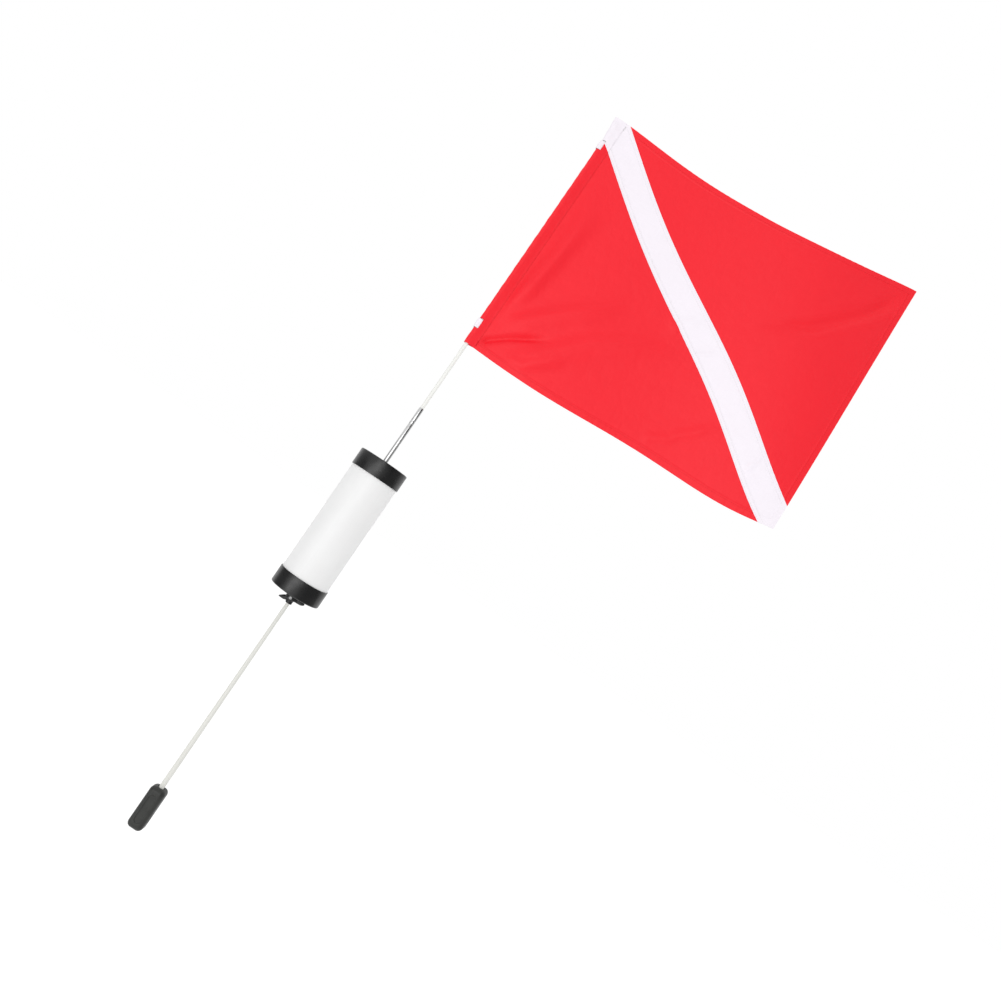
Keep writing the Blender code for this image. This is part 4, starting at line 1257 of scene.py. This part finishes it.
@dataclass
class Cloth:
    """The flag's cut and the way that it hangs."""

    hoist: float = 0.3556
    fly: float = 0.4572
    foot: float = 0.28025
    seam: float = 0.0142
    tuck: float = 0.0016
    pocket_depth: float = 0.0100
    drawn_foot: float = 0.989
    drawn_head: float = 0.981
    fly_rise: float = 0.0224
    fly_head_rise: float = 0.0158
    foot_sag: float = 0.0140
    head_sag: float = 0.0217
    crown: float = 0.0162
    bow_foot: float = 2.5
    bow_head: float = 1.8
    bend: float = 0.0059
    bend_share: float = 1.13
    billow: float = 0.0120
    billow_share: float = 1.15
    billow_slant: float = 0.35
    pucker: float = 0.00022
    pucker_length: float = 0.0085
    pucker_spread: float = 3.7
    stripe_width: float = 0.0400
    stripe_hoist: float = 0.972
    stripe_fly: float = 0.026
    hem: float = 0.0090
    fell: float = 0.7
    thin: float = 0.00045
    thick: float = 0.00095

    def off_stripe(self, along: float, up: float) -> float:
        """Return how far a flat point is above the stripe's centre line.

        Args:
            along: Metres from the hoist's edge.
            up: Metres from the foot.

        Returns:
            The distance in metres, below 0 under the line.
        """
        across, rise = self.fly, (self.stripe_fly - self.stripe_hoist) * self.hoist
        length = math.hypot(across, rise)
        return ((up - self.stripe_hoist * self.hoist) * across - along * rise) / length

    def hung(self, along: float, up: float) -> Vector:
        """Place a point of the flat cloth.

        Args:
            along: Metres from the hoist's edge.
            up: Metres from the foot.

        Returns:
            The point on the hung cloth.
        """
        past = max(along - self.seam, 0)
        across = min(past / (self.fly - self.seam), 1)
        rise = up / self.hoist
        power = self.bow_foot + (self.bow_head - self.bow_foot) * rise
        bow = math.sin(math.pi * across**power) ** 1.2 if 0 < across < 1 else 0
        sag = self.foot_sag + (self.head_sag - self.foot_sag) * rise
        height = up + self.fly_rise * across + bow * (self.crown * 4 * rise * (1 - rise) - sag)
        height += self.fly_head_rise * eased(2 * across - 1) * rise * rise
        height -= self.bend * math.sin(math.tau * self.bend_share * across)
        wave = self.billow_share * across + self.billow_slant * (rise - 1)
        depth = self.billow * across * math.sin(math.tau * wave)
        folds = sum(crease.at(along, up) for crease in CREASES)
        depth += (self.puckered(along, up) - folds) * eased(past / self.hem)
        drawn = self.drawn_foot + (self.drawn_head - self.drawn_foot) * rise
        return Vector((self.pocket_depth + (along - self.seam) * drawn, depth, self.foot + height))

    def puckered(self, along: float, up: float) -> float:
        """Return the small ripple that sewing leaves beside the seams and hems.

        Args:
            along: Metres from the hoist's edge.
            up: Metres from the foot.

        Returns:
            The ripple in metres.
        """
        off = abs(self.off_stripe(along, up)) - self.stripe_width / 2
        ripple = 0.0
        runs = ((off, along), (up, along), (self.hoist - up, along), (self.fly - along, up))
        for number, (distance, run) in enumerate(runs):
            fade = math.exp(-abs(distance) / self.hem)
            swell = run / (self.pucker_spread * self.pucker_length)
            uneven = 0.6 + 0.4 * math.sin(swell + 1.3 * number)
            ripple += fade * uneven * math.sin(math.tau * run / self.pucker_length + 2.1 * number)
        return ripple * self.pucker

    def facing(self, along: float, up: float) -> Vector:
        """Return the hung cloth's normal at a flat point, towards -Y.

        Args:
            along: Metres from the hoist's edge.
            up: Metres from the foot.

        Returns:
            The normal.
        """
        step = 0.0005
        across = self.hung(along + step, up) - self.hung(along - step, up)
        rise = self.hung(along, up + step) - self.hung(along, up - step)
        return across.cross(rise).normalized()

    def thickness(self, along: float, up: float) -> float:
        """Return how thick the cloth is: doubled in its hems and under the stripe's edges.

        Args:
            along: Metres from the hoist's edge.
            up: Metres from the foot.

        Returns:
            The thickness in metres.
        """
        inside_stripe = self.stripe_width / 2 - abs(self.off_stripe(along, up))
        hemmed = min(up, self.hoist - up, self.fly - along) < self.hem
        felled = 0 <= inside_stripe < self.fell * self.hem
        return self.thick if hemmed or felled else self.thin


@dataclass
class Flag:
    """The two red panels, the white stripe, the pocket that slips over the mast, and the sewing."""

    finishes: Finishes
    cloth: Cloth = field(default_factory=Cloth)
    cell: float = 0.0022
    seam_gap: float = 0.00005
    rod_r: float = 0.0025
    pocket_r: float = 0.0042
    flap: float = 0.0008
    flare: float = 0.0031
    flare_height: float = 0.0370
    shut_share: float = 0.595
    shut: float = 0.86
    rumple: float = 0.00012
    red_rows: int = 160
    white_rows: int = 26
    notches: tuple[float, float] = (0.0295, 0.3116)
    notch_height: float = 0.0140
    notch_depth: float = 0.0015
    strap_height: float = 0.0126
    strap_bulge: float = 0.0058
    strap_thickness: float = 0.0005
    strap_facets: int = 32
    strap_rows: int = 10
    strap_pinch: float = 0.05
    strap_edge: float = 0.0001
    stitch: float = 0.0031
    thread_r: float = 0.00022
    stitch_gap: float = 0.08
    stitch_pinch: float = 0.45
    stitch_sink: float = 1.6
    stitch_lift: float = 0.35
    stitch_margin: float = 0.002
    row_share: float = 0.8
    seam_row: float = 0.0015
    stripe_rows: Flat = (0.0016, 0.0052)
    tack_rows: int = 7
    tack_step: float = 0.0005
    tack_reach: float = 0.0012

    def build(self) -> None:
        """Build and dress the flag."""
        cloth, red, white = self.cloth, self.finishes.red, self.finishes.white
        edge, inner = cloth.stripe_width / 2 + self.seam_gap, cloth.stripe_width / 2 - self.seam_gap
        lower, lower_area = self.panel("flag_panel_lower_cloth", None, -edge)
        stripe, stripe_area = self.panel("flag_stripe_cloth", -inner, inner)
        upper, upper_area = self.panel("flag_panel_upper_cloth", edge, None)
        lower.fitted(Body.FLAG, red, "flag_panel_lower")
        stripe.fitted(Body.FLAG, white, "flag_stripe")
        upper.fitted(Body.FLAG, red, "flag_panel_upper")
        threads = self.sewing()
        self.pocket()
        self.straps()

    def cut_line(self, offset: float) -> tuple[Vector, Vector]:
        """Return a point and the upward normal of a line beside the stripe's centre line.

        Args:
            offset: How far above the centre line.

        Returns:
            The point and the normal.
        """
        cloth = self.cloth
        start = Vector((0, cloth.stripe_hoist * cloth.hoist, 0))
        run = (Vector((cloth.fly, cloth.stripe_fly * cloth.hoist, 0)) - start).normalized()
        normal = Vector((-run.y, run.x, 0))
        return start + normal * offset, normal

    def flat_grid(self, above: float | None, below: float | None) -> bmesh.types.BMesh:
        """Cut one piece of cloth from the flag's flat grid.

        Args:
            above: Keep what is above this distance from the stripe's centre line.
            below: Keep what is below this distance.

        Returns:
            The flat mesh, with cuts along the hems and seams.
        """
        cloth = self.cloth
        start = cloth.seam - cloth.tuck
        width = cloth.fly - start
        flat = bmesh.new()
        columns, rows = round(width / self.cell), round(cloth.hoist / self.cell)
        bmesh.ops.create_grid(flat, x_segments=columns, y_segments=rows, size=1)
        bmesh.ops.scale(flat, vec=(width / 2, cloth.hoist / 2, 1), verts=flat.verts)
        bmesh.ops.translate(flat, vec=((cloth.fly + start) / 2, cloth.hoist / 2, 0), verts=flat.verts)
        up, across = Vector((0, 1, 0)), Vector((1, 0, 0))
        felled = cloth.stripe_width / 2 - cloth.fell * cloth.hem
        cuts: list[tuple[Vector, Vector, bool, bool]] = []
        for side in (-GAP / 2, GAP / 2):
            for height in (cloth.hem, cloth.hoist - cloth.hem):
                cuts.append((up * (height + side), up, False, False))
            cuts.append((across * (cloth.fly - cloth.hem + side), across, False, False))
            for seam in (-felled, felled):
                cuts.append((*self.cut_line(seam + side), False, False))
        if above is not None:
            cuts.append((*self.cut_line(above), True, False))
        if below is not None:
            cuts.append((*self.cut_line(below), False, True))
        for point, normal, inner, outer in cuts:
            plane = {"dist": WELD, "plane_co": point, "plane_no": normal}
            everything = flat.verts[:] + flat.edges[:] + flat.faces[:]
            bmesh.ops.bisect_plane(flat, geom=everything, clear_inner=inner, clear_outer=outer, **plane)
        return flat

    def panel(self, name: str, above: float | None, below: float | None) -> tuple[Piece, float]:
        """Cut, hang and thicken one piece of cloth.

        Args:
            name: The piece's name.
            above: Keep what is above this distance from the stripe's centre line.
            below: Keep what is below this distance.

        Returns:
            The cloth, and its flat area in square metres.
        """
        flat = self.flat_grid(above, below)
        area = sum(face.calc_area() for face in flat.faces)
        flat.verts.index_update()
        spots = [(vert.co.x, vert.co.y) for vert in flat.verts]
        faces = [[vert.index for vert in face.verts] for face in flat.faces]
        flat.free()
        cloth = self.cloth
        piece = Piece.from_faces(name, [cloth.hung(*spot) for spot in spots], faces, spots)
        group = piece.obj.vertex_groups.new(name="thickness")
        for index, spot in enumerate(spots):
            group.add([index], cloth.thickness(*spot) / cloth.thick, "REPLACE")
        graded = {"vertex_group": "thickness", "thickness_vertex_group": 0}
        piece.worked("SOLIDIFY", thickness=cloth.thick, offset=0, use_rim=True, **graded)
        piece.obj.vertex_groups.clear()
        return piece.smoothed(50), area

    def sewing(self) -> dict[str, Piece]:
        """Sew the seams and hems with rows of stitches on both faces, and tack the pocket's ends.

        Returns:
            The red and the white thread.
        """
        cloth = self.cloth
        edge, inset = cloth.stripe_width / 2, cloth.hem * self.row_share
        low, high, out = inset, cloth.hoist - inset, cloth.fly - inset
        start = cloth.seam + self.seam_row
        border = self.border(cloth.pocket_depth) - cloth.foot
        red = [((start, low), (out, low)), ((start, high), (out, high))]
        red += [((out, low), (out, high)), ((start, low), (start, border))]
        white = []
        for offset in (side * (edge - row) for row in self.stripe_rows for side in (-1, 1)):
            point, normal = self.cut_line(offset)
            slope = -normal.x / normal.y
            white.append(tuple((x, point.y + (x - point.x) * slope) for x in (start, out)))
        white.append(((start, border), (start, high)))
        for rows, end in ((red, low), (white, high)):
            for step in range(-self.tack_rows, self.tack_rows):
                height = end + step * self.tack_step
                rows.append(((start - self.tack_reach, height), (start + self.tack_reach, height)))
        sewn = {}
        for colour, rows, finish in (
            ("red", red, self.finishes.red_thread),
            ("white", white, self.finishes.white_thread),
        ):
            spots = [spot for row in rows for spot in self.row_of_stitches(row, colour == "white")]
            sewn[colour] = self.stitched(f"{colour}_stitches", spots).fitted(Body.FLAG, finish)
        return sewn

    def row_of_stitches(self, row: tuple[Flat, Flat], on_stripe: bool) -> list[tuple[Vector, Vector, Vector]]:
        """Lay stitches along a straight line of the flat cloth, on both its faces.

        Args:
            row: The line's two ends.
            on_stripe: Whether the row is sewn on the stripe; other rows stop at its edges.

        Returns:
            Each stitch's middle, direction and outward normal.
        """
        cloth = self.cloth
        (x0, y0), (x1, y1) = row
        count = max(1, int(math.hypot(x1 - x0, y1 - y0) / self.stitch))
        found = []
        for number in range(count):
            shares = ((number + self.stitch_gap) / count, (number + 1 - self.stitch_gap) / count)
            spots = [(x0 + (x1 - x0) * share, y0 + (y1 - y0) * share) for share in shares]
            middle = ((spots[0][0] + spots[1][0]) / 2, (spots[0][1] + spots[1][1]) / 2)
            inside = abs(cloth.off_stripe(*middle)) < cloth.stripe_width / 2
            if inside != on_stripe or not self.stitch_margin < middle[1] < cloth.hoist - self.stitch_margin:
                continue
            normal = cloth.facing(*middle)
            run = cloth.hung(*spots[1]) - cloth.hung(*spots[0])
            lift = cloth.thickness(*middle) / 2 + self.thread_r * self.stitch_lift
            for face in (1, -1):
                found.append((cloth.hung(*middle) + normal * face * lift, run, normal * face))
        return found

    def stitched(self, name: str, spots: Sequence[tuple[Vector, Vector, Vector]]) -> Piece:
        """Shape one stitch by hand and lay a copy of it at each place.

        Args:
            name: The thread's name.
            spots: Each stitch's middle, direction and outward normal.

        Returns:
            The thread.
        """
        one = Piece.cylinder("one_stitch", self.thread_r, 1, 6, turn=(0, QUARTER, 0))
        with one.editing():
            for place in (-0.3, 0.3):
                bpy.ops.mesh.select_all(action="SELECT")
                bpy.ops.mesh.bisect(plane_co=(place, 0, 0), plane_no=(1, 0, 0))
            one.pick(Part.CORNERS, lambda spot: abs(spot.x) > 0.45)
            bpy.ops.transform.resize(value=(1, self.stitch_pinch, self.stitch_pinch))
            bpy.ops.transform.translate(value=(0, 0, -self.stitch_sink * self.thread_r))
        corners = [vert.co.copy() for vert in one.obj.data.vertices]
        loops = [list(face.vertices) for face in one.obj.data.polygons]
        bpy.data.objects.remove(one.obj, do_unlink=True)
        points: list[Vector] = []
        faces: list[list[int]] = []
        for middle, run, normal in spots:
            ahead = run.normalized()
            side = normal.cross(ahead).normalized()
            base = len(points)
            for corner in corners:
                along = ahead * corner.x * run.length
                points.append(middle + along + side * corner.y + normal * corner.z)
            faces += [[base + index for index in loop] for loop in loops]
        return Piece.from_faces(name, points, faces).smoothed(60)

    def pocket_line(self) -> list[Vector]:
        """Return the line of the pocket's cloth from the seam, round the rod and back, seen from above.

        Returns:
            The line's points.
        """
        radius, tip, steps = self.pocket_r - self.cloth.thin / 2, self.cloth.pocket_depth - GAP, 20
        touch = math.acos(radius / tip)
        flap = (self.cloth.thick + self.cloth.thin) / 2
        seam = Vector((tip, flap, 0))
        rod = Vector((radius * math.cos(touch), radius * math.sin(touch), 0))
        line = [Vector((tip + self.flap, flap, 0))] + [seam.lerp(rod, share / 4) for share in range(4)]
        for step in range(steps + 1):
            angle = touch + (math.tau - 2 * touch) * step / steps
            line.append(Vector((radius * math.cos(angle), radius * math.sin(angle), 0)))
        return line + [Vector((spot.x, -spot.y, 0)) for spot in reversed(line[:5])]

    def border(self, x: float) -> float:
        """Return the height where the red pocket meets its white top, from the notch to the stripe.

        Args:
            x: Metres from the pole's axis.

        Returns:
            The height in metres.
        """
        cloth = self.cloth
        nose = cloth.foot + self.notches[1] + self.notch_height / 2 - 2 * GAP
        start, normal = self.cut_line(-cloth.stripe_width / 2)
        seam = cloth.foot + start.y + (start.x - cloth.seam) * normal.x / normal.y
        return nose + (seam - nose) * (x + self.pocket_r) / (cloth.pocket_depth + self.pocket_r)

    def sleeve(self, name: str, white: bool) -> Piece:
        """Build the red or the white stretch of the pocket, a little rumpled round the rod.

        Args:
            name: The piece's name.
            white: Whether it is the white top, whose head is sewn flat and shut.

        Returns:
            The cloth.
        """
        cloth = self.cloth
        head = cloth.foot + cloth.hoist - cloth.thin / 2
        line = self.pocket_line()
        rows = self.white_rows if white else self.red_rows
        lengths = [0.0]
        for here, there in zip(line, line[1:]):
            lengths.append(lengths[-1] + (there - here).length)
        points: list[Vector] = []
        spots: list[Flat] = []
        for row in range(rows + 1):
            for spot, run in zip(line, lengths):
                border = self.border(spot.x)
                low, high = (border, head) if white else (cloth.foot, border - self.seam_gap)
                z = low + (high - low) * row / rows
                share = (z - head) / self.flare_height + 1
                flared = 1 + self.flare / self.pocket_r * max(share, 0) if spot.x < 0 else 1
                flattened = 1 - self.shut * eased((share - self.shut_share) / (1 - self.shut_share))
                if spot.x > cloth.pocket_depth * 0.9:
                    flattened = 1
                slack = math.sin(math.pi * run / lengths[-1])
                rumple = math.sin(z * 410 + 5 * run / lengths[-1]) + 0.6 * math.sin(z * 173 - 9 * run / lengths[-1])
                out = spot.normalized() * (rumple * self.rumple * slack)
                points.append(Vector((spot.x * flared, spot.y * flattened, z)) + out)
                spots.append((run, z))
        wide = len(line)
        faces = netted(rows, wide)
        if white:
            last = rows * wide
            for column in range(wide // 2):
                far = wide - 1 - column
                if far - column > 1:
                    faces.append([last + column, last + column + 1, last + far - 1, last + far])
        piece = Piece.from_faces(name, points, faces, spots)
        for height in self.notches:
            self.notched(piece, cloth.foot + height)
        return piece.worked("SOLIDIFY", thickness=cloth.thin, offset=0, use_rim=True).smoothed(50)

    def notched(self, piece: Piece, middle: float) -> None:
        """Cut a notch out of the pocket's folded edge.

        Args:
            piece: The pocket's cloth.
            middle: The height of the notch's middle.
        """
        low, high = middle - self.notch_height / 2, middle + self.notch_height / 2
        cuts = (((0, 0, low), (0, 0, 1)), ((0, 0, high), (0, 0, 1)), ((self.notch_depth, 0, 0), (1, 0, 0)))
        with piece.editing():
            for spot, normal in cuts:
                bpy.ops.mesh.select_all(action="SELECT")
                bpy.ops.mesh.bisect(plane_co=spot, plane_no=normal)
            if piece.pick(Part.FACES, lambda spot: low < spot.z < high and spot.x < self.notch_depth):
                bpy.ops.mesh.delete(type="FACE")
            bpy.ops.mesh.select_all(action="SELECT")
            bpy.ops.mesh.normals_make_consistent(inside=False)

    def pocket(self) -> None:
        """Build the red pocket with its notches and the white, closed top."""
        red = self.sleeve("hoist_pocket_cloth", False)
        red.fitted(Body.FLAG, self.finishes.red, "hoist_pocket")
        white = self.sleeve("hoist_pocket_top_cloth", True)
        white.fitted(Body.FLAG, self.finishes.white, "hoist_pocket_top")
        line = self.pocket_line()

    def straps(self) -> None:
        """Build one loop of tape and copy it into each notch."""
        inner = self.rod_r + GAP
        radius = inner + self.strap_thickness / 2
        flat = self.strap_bulge - self.strap_thickness / 2 - radius
        line = []
        for step in range(self.strap_facets + 1):
            angle = math.tau * step / self.strap_facets - math.pi / 2
            spot = Vector((radius * math.cos(angle), radius * math.sin(angle), 0))
            if spot.x < 0 or step in (0, self.strap_facets):
                spot.x -= flat * eased(abs(spot.x) / radius * 3)
            line.append(spot)
        rows = self.strap_rows
        first = self.cloth.foot + self.notches[0]
        points, spots = [], []
        for row in range(rows + 1):
            share = row / rows - 0.5
            z = first + self.strap_height * share
            pinch = 1 - self.strap_pinch * math.cos(math.tau * share)
            for number, spot in enumerate(line[:-1]):
                points.append(Vector((spot.x * (2 - pinch) if spot.x < 0 else spot.x, spot.y, z)))
                spots.append((number * 0.0007, z))
        faces = netted(rows, len(line) - 1, closed=True)
        lower = Piece.from_faces("strap_lower_tape", points, faces, spots)
        lower.welded().worked("SOLIDIFY", thickness=self.strap_thickness * 0.9, offset=0)
        lower.worked("BEVEL", width=self.strap_edge, segments=2).smoothed(50)
        rise = self.notches[1] - self.notches[0]
        upper = lower.copied("strap_upper_tape", Matrix.Translation((0, 0, rise)))
        lower.fitted(Body.FLAG, self.finishes.white, "strap_lower")
        upper.fitted(Body.FLAG, self.finishes.white, "strap_upper")


# Studio


@dataclass(frozen=True)
class Card:
    """A card round the camera: its direction, its middle's height, its size, its grey and its lean."""

    name: str
    degrees: float
    z: float
    width: float
    height: float
    grey: float = 0.33
    lean: float = 0.0


@dataclass(frozen=True)
class Lamp:
    """A rectangular lamp that faces the origin: its place, its size, its watts, and whether it is mirrored."""

    name: str
    at: Triple
    size: Flat
    power: float
    mirrored: bool


@dataclass
class Studio:
    """The photograph's camera, a soft plain light, a white floor and three grey cards."""

    camera_at: Triple = (0.15207729, -1.08236847, 0.05442868)
    look: Triple = (-0.00550824, 0.99695377, 0.07780002)
    up: Triple = (-0.5572249, -0.06766276, 0.82760024)
    lens: float = 31.289
    lamps: tuple[Lamp, ...] = (
        Lamp("key_lamp", (-0.50, -2.20, -0.04), (2.4, 0.85), 14.0, True),
        Lamp("side_lamp", (2.12, -0.57, 0.30), (2.0, 2.0), 4.0, False),
    )
    cards: tuple[Card, ...] = (
        Card("card_right", 65.0, -0.81, 3.40, 2.40, lean=26.0),
        Card("card_left", -84.0, -1.00, 1.60, 2.50),
        Card("card_high", 54.0, 1.40, 2.40, 2.10, grey=0.05),
    )
    card_distance: float = 1.5
    floor_z: float = -1.0
    floor_size: float = 60.0
    floor_grey: Triple = (0.90, 0.90, 0.90)
    floor_lift: float = 0.28
    ambient: float = 0.87

    def build(self) -> None:
        """Set up the camera, the light, the floor and the cards."""
        self.camera()
        self.world()
        for shape in self.lamps:
            self.lamp(shape)
        self.floor()
        for shape in self.cards:
            self.card(shape)
        bpy.context.scene.view_settings.view_transform = "Standard"

    def placed(self, data: bpy.types.ID, at: Triple, right: Vector, up: Vector, back: Vector) -> bpy.types.Object:
        """Hang up a camera or a lamp.

        Args:
            data: The camera or the lamp.
            at: Its place.
            right: The direction of its right side.
            up: The direction of its upper side.
            back: The direction of its back.

        Returns:
            The object.
        """
        hung = bpy.data.objects.new(data.name, data)
        bpy.context.scene.collection.objects.link(hung)
        hung.matrix_world = Matrix.Translation(at) @ Matrix((right, up, back)).transposed().to_4x4()
        return hung

    def camera(self) -> None:
        """Place the camera where the photograph was taken."""
        lens = bpy.data.cameras.new("photograph")
        lens.lens = self.lens
        lens.sensor_width = 36.0
        back, up = -Vector(self.look), Vector(self.up)
        bpy.context.scene.camera = self.placed(lens, self.camera_at, up.cross(back), up, back)

    def world(self) -> None:
        """Make the room white to the eye and in reflections, and a plain soft light otherwise."""
        world = bpy.data.worlds.new("white_room")
        bpy.context.scene.world = world
        graph = Graph(world, "Background")
        graph.set(Color=WHITE, Strength=graph.seen(self.ambient, 1.0))

    def lamp(self, shape: Lamp) -> None:
        """Hang a soft lamp: a wide one behind the camera, or the weak one aside.

        Args:
            shape: The lamp.
        """
        light = bpy.data.lights.new(shape.name, "AREA")
        light.shape = "RECTANGLE"
        light.size, light.size_y = shape.size
        light.energy = shape.power
        back = Vector(shape.at).normalized()
        right = Vector(self.up).cross(back).normalized()
        lamp = self.placed(light, shape.at, right, back.cross(right), back)
        lamp.visible_glossy = shape.mirrored

    def floor(self) -> None:
        """Lay the pale floor, well below the float's weight."""
        graph = Graph(bpy.data.materials.new("white_floor"))
        graph.set(
            Base_Color=(*self.floor_grey, 1.0),
            Roughness=0.9,
            Specular_IOR_Level=0.1,
            Emission_Color=WHITE,
            Emission_Strength=graph.seen(0.0, self.floor_lift),
        )
        add = bpy.ops.mesh.primitive_plane_add
        floor = Piece.started("floor", add, size=self.floor_size, location=(0, 0, self.floor_z))
        floor.obj.data.materials.append(bpy.data.materials["white_floor"])

    def card(self, shape: Card) -> None:
        """Stand a grey card beside the camera, which only reflections see.

        Args:
            shape: The card.
        """
        grey = bpy.data.materials.new(f"grey_of_{shape.name}")
        Graph(grey).set(
            Base_Color=BLACK,
            Roughness=1.0,
            Specular_IOR_Level=0.0,
            Emission_Color=WHITE,
            Emission_Strength=shape.grey,
        )
        angle = math.radians(shape.degrees)
        spot = (self.card_distance * math.sin(angle), -self.card_distance * math.cos(angle), shape.z)
        turn = Matrix.Rotation(angle, 4, "Z") @ Matrix.Rotation(QUARTER, 4, "X")
        turn @= Matrix.Rotation(math.radians(shape.lean), 4, "Z")
        stretch = Matrix.Diagonal((shape.width, shape.height, 1, 1))
        card = Piece.started(shape.name, bpy.ops.mesh.primitive_plane_add, size=1)
        card.moved(Matrix.Translation(spot) @ turn @ stretch)
        card.obj.data.materials.append(grey)
        for rays in ("camera", "diffuse", "shadow", "transmission"):
            setattr(card.obj, f"visible_{rays}", False)


def dress_frame(nodes: dict[str, bpy.types.Object], finishes: Finishes) -> None:
    """Give the CAD nodes that stay their finishes.

    Args:
        nodes: The CAD nodes by name.
        finishes: Every finish.
    """
    kept = {
        "core_tube": finishes.tube,
        "thrust_washer": finishes.screw,
        "weight_slug": finishes.slug,
        "mast_tip": finishes.vinyl,
    }
    for name, finish in kept.items():
        for slot in nodes[name].material_slots:
            slot.material = finish.material()
        LOG.info("%s keeps its CAD shape, finished as %s", name, finish.name)


def main() -> None:
    """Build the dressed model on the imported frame."""
    logging.basicConfig(level=logging.INFO, format="%(name)s: %(message)s")
    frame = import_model()
    finishes = Finishes()
    Studio().build()
    dress_frame(frame["nodes"], finishes)
    FloatBody(finishes).build()
    WeightedPole(finishes).build()
    Mast(finishes).build()
    Flag(finishes).build()


if __name__ == "__main__":
    main()
